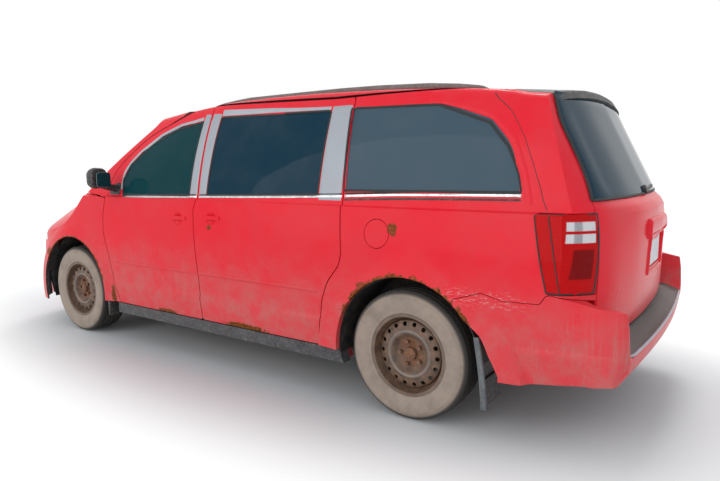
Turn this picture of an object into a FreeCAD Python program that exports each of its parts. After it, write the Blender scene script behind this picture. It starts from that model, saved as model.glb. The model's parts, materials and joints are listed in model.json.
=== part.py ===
import FreeCAD, Part
import math
import os
import Sketcher
from FreeCAD import Placement, Rotation, Vector

# A minivan with two hinged front doors, two sliding rear doors and a liftgate.
# Frame: +X to the front, +Y to the left side, +Z up, origin on the ground at the
# middle of the overall length and width. All lengths are in millimetres.

doc = FreeCAD.newDocument("minivan")
sheet = doc.addObject("Spreadsheet::Sheet", "sizes")

# Driving sizes: alias, value, what it is
SIZES = (
    ("length", 5143, "bumper to bumper"),
    ("width", 1953, "over the wheel arch flares, without the mirrors"),
    ("roof_height", 1752, "top of the roof panel, without the rack"),
    ("wheelbase", 3078, "front to rear axle"),
    ("front_overhang", 963, "front bumper to front axle"),
    ("side_half_width", 966, "middle plane to the fullest line of the side"),
    ("belt_height", 1124, "foot of the side glass"),
    ("sill_height", 320, "lower edge of the doors"),
    ("sill_bottom", 232, "lower edge of the sill cladding"),
    ("crease_height", 478, "crease low on the doors"),
    ("wall", 70, "thickness of doors, quarters and liftgate"),
    ("roof_wall", 45, "thickness of the roof with its liner"),
    ("skin", 12, "thickness of the fenders, hood and bumpers"),
    ("shut_gap", 7, "gap between neighbouring panels"),
    ("seal_gap", 0.3, "gap where one piece seats against another"),
    ("frame_depth", 40, "depth of the inner side frame"),
    ("glass_inset", 4, "panel surface down to the glass"),
    ("glass", 5, "thickness of a pane"),
    ("front_arch", 435, "radius of the front wheel arch"),
    ("rear_arch", 422, "radius of the rear wheel arch"),
    ("track", 1646, "wheel centre to wheel centre across the car"),
    ("tyre_radius", 349.5, "tyre, outside radius"),
    ("tyre_width", 223, "tyre, section width"),
    ("rim_radius", 221, "rim flange radius"),
    ("rim_half_width", 95, "half of the rim over its flanges"),
    ("rim_sheet", 6, "thickness of the rim and disc steel"),
    ("wheel_offset", 40, "rim centre out to the hub face"),
    ("bolt_circle", 63.5, "radius of the lug circle"),
    ("hub_bore", 36, "radius of the hub cap boss"),
    ("vent_circle", 163, "radius of the circle of vent holes"),
    ("vent_radius", 12, "radius of one vent hole"),
    ("vent_count", 18, "vent holes in one wheel"),
    ("lug_count", 5, "lug nuts on one wheel"),
    ("brake_radius", 140, "brake disc or drum radius"),
    ("hub_face_in", 28, "rim centre in to the inner hub face"),
    ("hinge_x", 563, "front axle back to the front door hinge axis"),
    ("hinge_y", 955, "middle plane out to the front door hinge axis"),
    ("fuel_lid_radius", 74, "fuel lid"),
    ("fuel_lid_ahead", 166, "fuel lid centre ahead of the rear axle"),
    ("fuel_lid_height", 983, "fuel lid centre"),
    ("kingpin_low_y", 745, "kingpin axis at its lower joint"),
    ("kingpin_low_z", 215, "height of the lower joint"),
    ("kingpin_top_y", 605, "kingpin axis at the strut top"),
    ("kingpin_top_z", 940, "height of the strut top"),
    ("floor_height", 330, "top of the front floor"),
    ("rear_floor_height", 540, "top of the rear floor"),
    ("floor_depth", 40, "depth of the floor with its ribs"),
    ("step_height", 634, "flat of the rear bumper under the step pad"),
    ("seat_width", 500, "one chair"),
    ("seat_y", 375, "middle plane to the middle of a chair"),
    ("driver_x", 420, "middle of a front cushion"),
    ("second_row_x", -560, "middle of a second row cushion"),
    ("third_row_x", -1440, "middle of the rear bench cushion"),
    ("steering_radius", 188, "steering wheel, to the middle of its rim"),
    ("steering_grip", 15, "radius of the steering wheel's rim section"),
    ("engine_length", 620, "engine block along the car"),
    ("engine_width", 760, "engine block across the car"),
    ("engine_height", 520, "engine block"),
    ("plate_screws", 177.8, "between the two plate screws"),
    ("plate_screw_radius", 3.5, "hole for a plate screw"),
    ("gate_flange", 22, "how far the liftgate's skin reaches past its inner frame"),
    ("rack_y", 600, "middle plane to a roof rail"),
    ("rack_height", 1797, "top of the roof rails at their highest"),
)
for row, (alias, value, words) in enumerate(SIZES, 1):
    sheet.set("A%d" % row, words)
    sheet.set("B%d" % row, str(value))
    sheet.setAlias("B%d" % row, alias)
doc.recompute()


def size(alias):
    """The sheet's value of one size."""
    return float(sheet.get(alias))


LENGTH = size("length")
HALF = LENGTH / 2
FRONT = HALF - size("front_overhang")
REAR = FRONT - size("wheelbase")
SIDE = size("side_half_width")
ROOF = size("roof_height")
BELT = size("belt_height")
SILL = size("sill_height")
WALL = size("wall")
SKIN = size("skin")
GAP = size("shut_gap")
SEAL = size("seal_gap")
AXLE_Z = size("tyre_radius")
WIDE = SIDE + 150
FRONT_X = "(sizes.length / 2 - sizes.front_overhang)"

PIECES = []


def keep(label, thing):
    """Name a finished sub-part and list it for export."""
    thing.Label = label
    PIECES.append(thing)
    return thing


def feature(label, shape):
    """A sub-part from a shape that was worked out with the kernel's own functions."""
    thing = doc.addObject("Part::Feature", label)
    thing.Shape = shape
    return keep(label, thing)


# Wires

def arc(first, middle, last):
    return Part.Arc(Vector(*first), Vector(*middle), Vector(*last)).toShape()


def line(first, last):
    return Part.LineSegment(Vector(*first), Vector(*last)).toShape()


def grown(corners, by):
    """Corners (u, v, radius) of a closed counter-clockwise outline, moved outward by a distance."""
    result = []
    count = len(corners)
    for index in range(count):
        before = Vector(*corners[index - 1][:2], 0)
        here = Vector(*corners[index][:2], 0)
        after = Vector(*corners[(index + 1) % count][:2], 0)
        way_in = (here - before).normalize()
        way_out = (after - here).normalize()
        out_in = Vector(way_in.y, -way_in.x, 0)
        out_out = Vector(way_out.y, -way_out.x, 0)
        reach = by / (1 + out_in.dot(out_out))
        moved = here + (out_in + out_out) * reach
        turn = way_in.cross(way_out).z
        radius = corners[index][2]
        if radius > 0:
            radius = max(radius + (by if turn > 0 else -by), 0.5)
        result.append((moved.x, moved.y, radius))
    return result


def outline(corners, lift):
    """A wire of straight runs and tangent arcs round corners (u, v, radius), lifted into space."""
    count = len(corners)
    points = [Vector(u, v, 0) for u, v, radius in corners]
    starts = []
    ends = []
    middles = []
    for index in range(count):
        here = points[index]
        way_in = (here - points[index - 1]).normalize()
        way_out = (points[(index + 1) % count] - here).normalize()
        turn = way_in.getAngle(way_out)
        room = min((here - points[index - 1]).Length, (points[(index + 1) % count] - here).Length)
        cut = min(corners[index][2] * math.tan(turn / 2), 0.49 * room)
        radius = cut / math.tan(turn / 2) if cut > 0 else 0
        if cut < 0.01:
            starts.append(here)
            ends.append(here)
            middles.append(None)
            continue
        starts.append(here - way_in * cut)
        ends.append(here + way_out * cut)
        inward = (way_out - way_in).normalize()
        middles.append(here + inward * (radius / math.cos(turn / 2) - radius))
    edges = []
    for index in range(count):
        if middles[index] is not None:
            trio = [lift(p) for p in (starts[index], middles[index], ends[index])]
            edges.append(Part.Arc(*trio).toShape())
        following = (index + 1) % count
        if (starts[following] - ends[index]).Length > 0.01:
            edges.append(Part.LineSegment(lift(ends[index]), lift(starts[following])).toShape())
    return Part.Wire(edges)


def prism_y(corners, low, high, by=0):
    """An outline of (x, z, radius) corners carried along Y."""
    wire = outline(grown(corners, by), lambda p: Vector(p.x, low, p.y))
    return Part.Face(wire).extrude(Vector(0, high - low, 0))


def prism_x(corners, low, high, by=0):
    """An outline of (y, z, radius) corners carried along X."""
    wire = outline(grown(corners, by), lambda p: Vector(low, p.x, p.y))
    return Part.Face(wire).extrude(Vector(high - low, 0, 0))


def prism_z(corners, low, high, by=0):
    """An outline of (x, y, radius) corners carried along Z."""
    wire = outline(grown(corners, by), lambda p: Vector(p.x, p.y, low))
    return Part.Face(wire).extrude(Vector(0, 0, high - low))


def box(x_low, x_high, y_low, y_high, z_low, z_high):
    corner = Vector(x_low, y_low, z_low)
    return Part.makeBox(x_high - x_low, y_high - y_low, z_high - z_low, corner)


def mirrored(corners):
    """Half an outline of (y, z, radius), from foot to head on the left, closed on the right."""
    other = [(-y, z, radius) for y, z, radius in reversed(corners) if y > 0]
    return list(corners) + other


def mirrored_plan(corners):
    """Half an outline of (x, y, radius), from front to back on the left, closed on the right."""
    other = [(x, -y, radius) for x, y, radius in reversed(corners) if y > 0]
    return list(corners) + other


def right(shape):
    """The right-hand twin of a left-hand shape."""
    return shape.mirror(Vector(0, 0, 0), Vector(0, 1, 0))


def main_solid(shape):
    """The shape without slivers that a cut left beside it."""
    solids = sorted(shape.Solids, key=lambda solid: solid.Volume, reverse=True)
    return solids[0]


# Body hull

# Sections along the car: x, width share below the belt, width share at the roof, roof drop
STATIONS = (
    (-1.02 * HALF, 0.952, 0.925, 62),
    (-0.933 * HALF, 0.970, 0.945, 52),
    (-0.836 * HALF, 0.986, 0.965, 40),
    (-0.661 * HALF, 0.998, 0.990, 20),
    (-0.350 * HALF, 1.000, 1.000, 0),
    (0.078 * HALF, 1.000, 1.000, 18),
    (0.272 * HALF, 1.000, 0.990, 52),
    (0.467 * HALF, 0.998, 0.965, 90),
    (0.661 * HALF, 0.985, 0.940, 120),
    (0.856 * HALF, 0.892, 0.860, 150),
    (1.02 * HALF, 0.740, 0.740, 170),
)


def section(x, low_share, roof_share, drop, inset):
    """Closed cross-section of the body at one station, moved inward by the inset."""
    belt_share = (low_share + roof_share) / 2
    foot = size("sill_bottom") - (2 if inset == 0 else 40)
    crease = size("crease_height")

    def low(sign, back, z, share):
        return (x, sign * ((SIDE - back) * share - inset), z)

    def high(sign, back, below):
        return (x, sign * ((SIDE - back) * roof_share - inset), ROOF - below - drop - inset)

    def half(sign):
        glass_middle = (BELT + ROOF - 97) / 2 + 10
        return [
            line(low(sign, 41, foot, low_share), low(sign, 25, SILL, low_share)),
            line(low(sign, 25, SILL, low_share), low(sign, 4, crease - 13, low_share)),
            line(low(sign, 4, crease - 13, low_share), low(sign, 11, crease + 14, low_share)),
            arc(low(sign, 11, crease + 14, low_share), low(sign, 0, crease + 282, low_share),
                low(sign, 28, BELT - 9, low_share)),
            line(low(sign, 28, BELT - 9, low_share), low(sign, 42, BELT, belt_share)),
            arc(low(sign, 42, BELT, belt_share), low(sign, 108, glass_middle, roof_share),
                high(sign, 198, 97)),
            arc(high(sign, 198, 97), high(sign, 224, 60), high(sign, 276, 36)),
        ]

    roof = arc(high(1, 276, 36), (x, 0, ROOF - drop - inset), high(-1, 276, 36))
    floor = line(low(-1, 41, foot, low_share), low(1, 41, foot, low_share))
    return Part.Wire(half(1) + [roof] + half(-1)[::-1] + [floor])


# Profiles across the car: y share of the half width, hood drop, nose back, screen back, tail in
PROFILES = (
    (1.02, 150, 460, 150, 300),
    (0.932, 85, 330, 120, 165),
    (0.828, 40, 240, 95, 85),
    (0.621, 15, 115, 55, 30),
    (0.400, 5, 45, 24, 10),
    (0.000, 0, 0, 0, 0),
)


def profile(y, hood_drop, nose_back, screen_back, tail_in, inset):
    """Closed side profile of the body at one distance from the middle plane."""
    foot = 180 if inset == 0 else 150
    tail = -HALF + tail_in + inset
    screen = HALF - screen_back - 1.8 * inset
    nose = HALF - nose_back
    base = BELT + 36
    top = ROOF + 98
    foot_tail = (tail + 141, y, foot)
    low_tail = (tail + 109, y, 640)
    full_tail = (tail + 84, y, 900)
    head_tail = (tail + 131, y, BELT + 61)
    roof_tail = (tail + 443, y, top)
    roof_front = (screen - 2091, y, top)
    screen_foot = (screen - 1001, y, base - 0.3 * hood_drop - 0.2 * inset)
    hood_middle = (nose - 521, y, BELT - 79 - hood_drop - inset)
    hood_lip = (nose - 151 - inset, y, BELT - 240 - hood_drop - inset)
    nose_full = (nose - 31 - inset, y, 640)
    nose_tip = (nose - inset, y, 480)
    nose_foot = (nose - 52 - inset, y, foot)
    return Part.Wire([
        line(foot_tail, low_tail),
        arc(low_tail, full_tail, head_tail),
        line(head_tail, roof_tail),
        line(roof_tail, roof_front),
        line(roof_front, screen_foot),
        arc(screen_foot, hood_middle, hood_lip),
        arc(hood_lip, nose_full, nose_tip),
        line(nose_tip, nose_foot),
        line(nose_foot, foot_tail),
    ])


def side_hull(inset):
    """The body's sides and roof, lofted along the car."""
    return Part.makeLoft([section(*station, inset) for station in STATIONS], True, False)


def end_hull(inset):
    """The body's nose, hood, screen and tail, lofted across the car."""
    wires = []
    for share, hood_drop, nose_back, screen_back, tail_in in PROFILES:
        wires.append(profile(-share * SIDE, hood_drop, nose_back, screen_back, tail_in, inset))
    for share, hood_drop, nose_back, screen_back, tail_in in PROFILES[-2::-1]:
        wires.append(profile(share * SIDE, hood_drop, nose_back, screen_back, tail_in, inset))
    return Part.makeLoft(wires, True, False)


HULLS = {}


def hull(inset):
    """The whole body, moved inward by the inset."""
    if inset not in HULLS:
        HULLS[inset] = side_hull(inset).common(end_hull(inset))
    return HULLS[inset]


OUTER = hull(0)
UNDER_GLASS = hull(size("glass_inset"))
BEHIND_GLASS = hull(size("glass_inset") + size("glass"))
UNDER_SKIN = hull(SKIN)
UNDER_ROOF = hull(size("roof_wall"))
UNDER_WALL = hull(WALL)
FRAME_OUT = hull(WALL + SEAL)
FRAME_IN = hull(WALL + SEAL + size("frame_depth"))
WALL_SHELL = OUTER.cut(UNDER_WALL)
ROOF_SHELL = OUTER.cut(UNDER_ROOF)


# Wheel arches

def ring(profile_points, centre_x):
    """A ring turned about a wheel axis from (radius, y) points on the left side."""
    points = [Vector(centre_x, y, AXLE_Z + radius) for radius, y in profile_points]
    face = Part.Face(Part.makePolygon(points + points[:1]))
    return face.revolve(Vector(centre_x, 0, AXLE_Z), Vector(0, 1, 0), 360)


def wheel_cylinder(radius, centre_x, low, high):
    return Part.makeCylinder(radius, high - low, Vector(centre_x, low, AXLE_Z), Vector(0, 1, 0))


LIP_Y = size("width") / 2
FRONT_ARCH = size("front_arch")
REAR_ARCH = size("rear_arch")
FLARE_ROOT = SIDE - 130
front_flare = ring(((FRONT_ARCH - 5, FLARE_ROOT), (FRONT_ARCH - 5, LIP_Y), (FRONT_ARCH + 85, SIDE - 14),
                    (FRONT_ARCH + 200, SIDE - 110), (FRONT_ARCH + 200, FLARE_ROOT)), FRONT)
rear_flare = ring(((REAR_ARCH - 5, FLARE_ROOT), (REAR_ARCH - 5, LIP_Y), (REAR_ARCH + 138, SIDE - 8),
                   (REAR_ARCH + 210, SIDE - 45), (REAR_ARCH + 210, FLARE_ROOT)), REAR)
front_hollow = ring(((FRONT_ARCH - 9, FLARE_ROOT - 20), (FRONT_ARCH - 9, LIP_Y - SKIN),
                     (FRONT_ARCH + 80, SIDE - 14 - SKIN), (FRONT_ARCH + 180, SIDE - 110 - SKIN),
                     (FRONT_ARCH + 180, FLARE_ROOT - 20)), FRONT)
FRONT_LEFT = box(FRONT - 720, HALF + 50, 0, WIDE, 0, ROOF)
REAR_LEFT = box(-HALF - 50, REAR + 620, 600, WIDE, 0, ROOF + 100)
FRONT_OUTER = OUTER.common(FRONT_LEFT)
FRONT_SKIN = FRONT_OUTER.cut(UNDER_SKIN)
FLARED_FRONT = FRONT_OUTER.fuse(front_flare.common(FRONT_LEFT)).cut(UNDER_SKIN).cut(front_hollow)
FLARED_REAR = OUTER.common(REAR_LEFT).fuse(rear_flare.common(REAR_LEFT)).cut(UNDER_WALL)
LEFT_WALL = WALL_SHELL.common(box(-HALF - 50, HALF + 50, 300, WIDE, 0, ROOF + 50))
FRONT_HOLE = wheel_cylinder(FRONT_ARCH, FRONT, 300, WIDE)
REAR_HOLE = wheel_cylinder(REAR_ARCH, REAR, 300, WIDE)

# Panel outlines seen from the left side: x, z, corner radius, with x told from the axles
DOOR_TOP = ROOF - 54
A_PILLAR = (
    (FRONT - 458, BELT - 24, 150),
    (FRONT - 468, BELT + 76, 120),
    (FRONT - 508, BELT + 166, 250),
    (FRONT - 618, ROOF - 352, 900),
    (FRONT - 848, ROOF - 187, 900),
    (FRONT - 1088, ROOF - 104, 700),
    (FRONT - 1278, ROOF - 67, 500),
)
FENDER_LINE = (
    (FRONT - 590, SILL - 4, 25),
    (FRONT - 538, SILL + 158, 400),
    (FRONT - 505, SILL + 343, 700),
    (FRONT - 444, SILL + 532, 180),
    (FRONT - 442, SILL + 666, 200),
)
B_LINE = (
    (FRONT - 1475, DOOR_TOP, 20),
    (FRONT - 1492, BELT + 10, 60),
    (FRONT - 1469, BELT - 76, 90),
    (FRONT - 1491, SILL + 502, 500),
    (FRONT - 1516, SILL + 291, 500),
    (FRONT - 1516, SILL - 4, 20),
)
C_LINE = (
    (REAR + 432, DOOR_TOP, 20),
    (REAR + 402, BELT + 36, 60),
    (REAR + 407, BELT - 20, 200),
    (REAR + 391, SILL + 537, 60),
    (REAR + 407, SILL + 473, 60),
    (REAR + 485, SILL + 377, 200),
    (REAR + 528, SILL + 267, 200),
    (REAR + 546, SILL + 143, 300),
    (REAR + 566, SILL - 4, 20),
)
FRONT_DOOR = FENDER_LINE + A_PILLAR + B_LINE
SLIDING_DOOR = B_LINE[::-1] + C_LINE
FRONT_WINDOW = (
    (FRONT - 1406, BELT + 8, 12),
    (FRONT - 640, BELT - 2, 40),
    (FRONT - 632, BELT + 120, 160),
    (FRONT - 690, BELT + 225, 220),
    (FRONT - 900, ROOF - 226, 600),
    (FRONT - 1150, ROOF - 143, 500),
    (FRONT - 1406, ROOF - 114, 12),
)
SLIDING_WINDOW = (
    (REAR + 580, BELT + 40, 16),
    (FRONT - 1578, BELT + 17, 16),
    (FRONT - 1578, ROOF - 96, 16),
    (REAR + 580, ROOF - 106, 16),
)
QUARTER_WINDOW = (
    (REAR - 584, BELT + 78, 30),
    (REAR + 392, BELT + 72, 16),
    (REAR + 428, ROOF - 96, 16),
    (REAR - 97, ROOF - 106, 300),
    (REAR - 400, ROOF - 190, 500),
    (REAR - 520, ROOF - 350, 300),
)
SEAM = (
    (REAR - 280, SILL + 372, 15),
    (REAR - 422, SILL + 417, 15),
    (REAR - 525, SILL + 391, 40),
    (REAR - 700, SILL + 396, 20),
    (REAR - 729, SILL + 436, 10),
)
LAMP_TOP = BELT - 5
LAMP_FOOT = SILL + 448
LAMP_SIDE = (
    (REAR - 1300, LAMP_FOOT, 0),
    (REAR - 731, LAMP_FOOT, 12),
    (REAR - 684, LAMP_TOP, 12),
    (REAR - 1300, LAMP_TOP, 0),
)
GATE_HALF = (
    (812, SILL + 338, 40),
    (818, SILL + 452, 60),
    (792, BELT - 3, 200),
    (752, BELT + 150, 300),
    (706, ROOF - 150, 200),
    (668, ROOF + 60, 0),
)
GATE_FRONT = REAR - 420
GATE_GLASS_HALF = (
    (648, BELT + 62, 50),
    (606, ROOF - 172, 60),
    (0, ROOF - 150, 2500),
)
SCREEN_HALF = (
    (790, BELT + 42, 40),
    (772, BELT + 96, 200),
    (640, ROOF - 118, 60),
    (0, ROOF - 66, 3500),
)

GATE_REGION = prism_x(mirrored(GATE_HALF), -HALF - 200, GATE_FRONT)
GATE_CUT = prism_x(mirrored(GATE_HALF), -HALF - 200, GATE_FRONT + GAP, GAP)
# Doors reach this far in over the roof edge
LIP_IN = SIDE - 311


def side_panel(shell, corners, by=0):
    """The part of a shell inside an outline, on the left side."""
    return shell.common(prism_y(corners, LIP_IN, WIDE, by))


def glazed(prism):
    """The glass that a prism cuts out of the body."""
    return main_solid(UNDER_GLASS.common(prism).cut(BEHIND_GLASS))


def pane(corners):
    """Glass inside an outline, on the left side."""
    return glazed(prism_y(corners, LIP_IN, WIDE))


def pair(label, left):
    """Two nodes, left and right, from the left-hand shape."""
    feature(label + "_left", left)
    feature(label + "_right", right(left))


def twins(label, left):
    """One node with the left-hand shape and its right-hand twin."""
    feature(label, Part.makeCompound(left.Solids + right(left).Solids))


PROUD = hull(-7)
SCOOP_RADIUS = 75
SCOOP_DEPTH = 15
PULL_HALF = 82
PULL_RISE = 13


def with_handle(door, x, z):
    """A door with a round scoop for the fingers and a pull across it."""
    face_y = Part.makeLine(Vector(x, 0, z), Vector(x, WIDE, z)).common(OUTER).BoundBox.YMax
    scoop = Part.makeSphere(SCOOP_RADIUS, Vector(x, face_y + SCOOP_RADIUS - SCOOP_DEPTH, z))
    pull = prism_y((
        (x - PULL_HALF, z - PULL_RISE, 12),
        (x + PULL_HALF, z - PULL_RISE, 12),
        (x + PULL_HALF, z + PULL_RISE, 12),
        (x - PULL_HALF, z + PULL_RISE, 12),
    ), SIDE - 100, WIDE)
    return door.cut(scoop).fuse(pull.common(PROUD).cut(UNDER_GLASS))


# Front doors, with their glass and mirrors

front_door = side_panel(LEFT_WALL, FRONT_DOOR, -GAP / 2).cut(side_hull(WALL))
front_door = main_solid(front_door.cut(prism_y(FRONT_WINDOW, LIP_IN, WIDE, SEAL)))
front_door = main_solid(with_handle(front_door, FRONT - 1318, BELT - 130))
pair("front_door", front_door)
pair("front_door_glass", pane(FRONT_WINDOW))


def mirror_shape():
    """Mirror housing on its short arm at the foot of the window."""
    foot_x = FRONT - 560
    foot_z = BELT + 62
    corners = ((-62, -62, 40), (62, -70, 45), (60, 78, 50), (-62, 72, 40))
    housing = Part.makeLoft([
        outline(grown(corners, by), lambda p, x=x: Vector(x, SIDE + 94 + p.x, foot_z + 66 + p.y))
        for x, by in ((foot_x - 44, -4), (foot_x - 10, 4), (foot_x + 40, -10), (foot_x + 72, -36))
    ], True, False)
    stalk = ((-34, -26, 20), (34, -26, 20), (34, 26, 20), (-34, 26, 20))
    arm = Part.makeLoft([
        outline(stalk, lambda p, y=y, z=z: Vector(foot_x + p.x, y, z + p.y))
        for y, z in ((SIDE - 100, foot_z - 22), (SIDE + 60, foot_z + 22))
    ], True, False)
    sail = prism_y(((foot_x - 56, BELT + 8, 12), (FRONT - 488, BELT + 8, 12), (FRONT - 494, BELT + 60, 40),
                    (foot_x - 50, BELT + 110, 30)), SIDE - 160, WIDE).common(PROUD)
    return main_solid(housing.fuse(arm).fuse(sail).cut(hull(-SEAL)))


pair("mirror", mirror_shape())

# Sliding doors

sliding_door = side_panel(LEFT_WALL, SLIDING_DOOR, -GAP / 2)
sliding_door = main_solid(sliding_door.cut(prism_y(SLIDING_WINDOW, LIP_IN, WIDE, SEAL)))
sliding_door = main_solid(with_handle(sliding_door, FRONT - 1645, BELT - 116))
pair("sliding_door", sliding_door)

# Rear bumper

# Plan outlines of the rear bumper: height, how far in from the fullest outline
BUMPER_STEPS = (
    (SILL - 34, 42),
    (SILL + 130, 8),
    (SILL + 270, 0),
    (SILL + 470, 10),
)
BUMPER_FRONT = REAR - 250
EAR_Y = 826
STEP_Z = size("step_height")
BUMPER_SIDE = ((REAR - 280, SILL - 60, 0),) + SEAM + (
    (REAR - 745, LAMP_FOOT - GAP, 10),
    (-HALF - 60, SILL + 378, 0),
    (-HALF - 60, SILL - 60, 0),
)
# The bumper's hollow runs out at its front and foot
BUMPER_HOLLOW = [(REAR - 200, SILL - 100, 0), (REAR - 200, SILL + 372 - SKIN, 0)]
BUMPER_HOLLOW += [(x, z - SKIN, radius) for x, z, radius in BUMPER_SIDE[1:-1]]
BUMPER_HOLLOW += [(-HALF - 60, SILL - 100, 0)]


def bumper_plan(height, inward, inset):
    """Plan outline of the bumper: bowed across the back, square at the ears."""
    side = SIDE + 40
    tail = inward + inset
    corner = -HALF + 56 + tail
    return Part.Wire([
        line((BUMPER_FRONT, -side, height), (corner, -side, height)),
        arc((corner, -side, height), (-HALF + tail, 0, height), (corner, side, height)),
        line((corner, side, height), (BUMPER_FRONT, side, height)),
        line((BUMPER_FRONT, side, height), (BUMPER_FRONT, -side, height)),
    ])


def bumper_solid(inset):
    """The bumper's full outline, moved inward by the inset."""
    steps = [bumper_plan(height, inward, inset) for height, inward in BUMPER_STEPS]
    sides = side_hull(inset)
    if inset == 0:
        sides = sides.fuse(rear_flare).fuse(right(rear_flare))
    return Part.makeLoft(steps, True, True).common(sides)


def above_step(depth):
    """The room over the step between the bumper's ears, sunk by a depth."""
    foot_y = EAR_Y - 26 + depth
    corners = ((foot_y, STEP_Z - depth, 0), (foot_y + 52, SILL + 500, 0))
    return prism_x(mirrored(corners), -HALF - 100, -HALF + 500)


rear_bumper = bumper_solid(0).common(prism_y(BUMPER_SIDE, -WIDE, WIDE)).cut(above_step(0))
hollow = bumper_solid(SKIN).common(prism_y(BUMPER_HOLLOW, -WIDE, WIDE)).cut(above_step(SKIN))
rear_bumper = rear_bumper.cut(hollow).cut(UNDER_WALL)
rear_bumper = main_solid(rear_bumper.cut(REAR_HOLE).cut(right(REAR_HOLE)))
feature("rear_bumper", rear_bumper)

pad_plan = (
    (-HALF + 300, 0, 0),
    (-HALF + 300, EAR_Y - 120, 60),
    (-HALF + 205, EAR_Y - 34, 20),
    (-HALF - 80, EAR_Y - 34, 0),
)
step_pad = prism_z(mirrored_plan(pad_plan[1:]), STEP_Z + SEAL, STEP_Z + 12)
step_pad = step_pad.common(bumper_solid(4)).cut(UNDER_WALL)
feature("step_pad", main_solid(step_pad))

# Quarters behind the sliding doors, with lamps, glass and the fuel lid

QUARTER = (
    (-HALF - 100, SILL, 0),
    (REAR + 620, SILL, 0),
    (REAR + 620, DOOR_TOP - GAP / 2, 0),
    (GATE_FRONT + 2 * GAP, DOOR_TOP - GAP / 2, 0),
    (GATE_FRONT + 2 * GAP, ROOF + 100, 0),
    (-HALF - 100, ROOF + 100, 0),
)
LID_X = REAR + size("fuel_lid_ahead")
LID_Z = size("fuel_lid_height")
LID_R = size("fuel_lid_radius")


def side_cylinder(x, z, radius, low, high):
    return Part.makeCylinder(radius, high - low, Vector(x, low, z), Vector(0, 1, 0))


quarter = side_panel(FLARED_REAR, QUARTER)
quarter = quarter.cut(prism_y(SLIDING_DOOR, LIP_IN - 50, WIDE, GAP / 2))
quarter = quarter.cut(prism_y(BUMPER_SIDE, LIP_IN - 50, WIDE, GAP / 2))
quarter = quarter.cut(prism_y(LAMP_SIDE, LIP_IN - 50, WIDE, 3))
quarter = quarter.cut(prism_y(QUARTER_WINDOW, LIP_IN - 50, WIDE, SEAL))
quarter = main_solid(quarter.cut(REAR_HOLE).cut(GATE_CUT))
lid_floor = SIDE - WALL + 8
lid_pocket = side_cylinder(LID_X, LID_Z, LID_R + GAP / 2, lid_floor, WIDE)
lid_stop = side_cylinder(LID_X, LID_Z, 14, lid_floor - 2, WIDE).common(hull(SKIN + SEAL))
feature("quarter_left", main_solid(quarter.cut(lid_pocket).fuse(lid_stop)))
feature("quarter_right", right(quarter))
lid_skin = side_cylinder(LID_X, LID_Z, LID_R, SIDE - 100, WIDE).common(OUTER).cut(UNDER_SKIN)
feature("fuel_lid", main_solid(lid_skin))
tail_lamp = side_panel(WALL_SHELL, LAMP_SIDE).cut(GATE_CUT)
twins("tail_lamps", main_solid(tail_lamp))
side_panes = pane(SLIDING_WINDOW).fuse(pane(QUARTER_WINDOW))
twins("side_glass", side_panes)

# Sills under the doors

cladding = side_panel(WALL_SHELL, (
    (REAR + REAR_ARCH - 20, SILL - 88, 0),
    (FRONT - 530, SILL - 88, 10),
    (FRONT - 556, SILL - 8, 10),
    (REAR + REAR_ARCH - 20, SILL - 8, 0),
))
twins("sill_cladding", main_solid(cladding.cut(REAR_HOLE)))

# Roof with its pillars, windscreen and cowl

PILLAR_FOOT = (
    (FRONT - 700, BELT - 16, 0),
    (FRONT - 450, BELT - 16, 0),
    (FRONT - 60, BELT + 22, 0),
    (HALF + 50, BELT + 22, 0),
)
SCREEN_FRONT = HALF - 900
screen_prism = prism_x(mirrored(SCREEN_HALF), FRONT - 1400, SCREEN_FRONT)
screen_cut = prism_x(mirrored(SCREEN_HALF), FRONT - 1400, SCREEN_FRONT, SEAL)
over_doors = prism_y(((-HALF, DOOR_TOP + GAP / 2, 0), (FRONT - 1200, DOOR_TOP + GAP / 2, 0),) + (
    (FRONT - 450, BELT - 16 + GAP / 2, 0), (FRONT - 60, BELT + 22 + GAP / 2, 0), (HALF, BELT + 22 + GAP / 2, 0),
    (HALF, ROOF + 100, 0), (-HALF, ROOF + 100, 0)), -WIDE, WIDE)
roof_middle = box(-HALF, FRONT - 300, GAP - LIP_IN, LIP_IN - GAP, ROOF - 300, ROOF + 100)
roof = ROOF_SHELL.common(over_doors.fuse(roof_middle))
door_room = prism_y(FRONT_DOOR, LIP_IN - GAP, WIDE, GAP / 2)
roof = roof.cut(door_room).cut(right(door_room)).cut(screen_cut)
roof = roof.cut(box(-HALF - 50, GATE_FRONT + GAP, -WIDE, WIDE, 0, ROOF + 200))
COWL_HALF = (
    (HALF - 925, 0, 600),
    (HALF - 960, 450, 900),
    (HALF - 1040, 790, 20),
    (HALF - 1300, 812, 20),
)
cowl_prism = prism_z(mirrored_plan(COWL_HALF), ROOF - 800, ROOF + 100)
roof = main_solid(roof.cut(box(FRONT - 80, HALF, -WIDE, WIDE, 0, ROOF)))
feature("roof", roof)
feature("windscreen", glazed(screen_prism))
cowl = ROOF_SHELL.common(cowl_prism).cut(screen_cut)
cowl = cowl.cut(box(0, HALF, -WIDE, WIDE, BELT + 43, ROOF + 100)).cut(roof)
feature("cowl", main_solid(cowl))

# Hood, fenders and the front end

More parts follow.
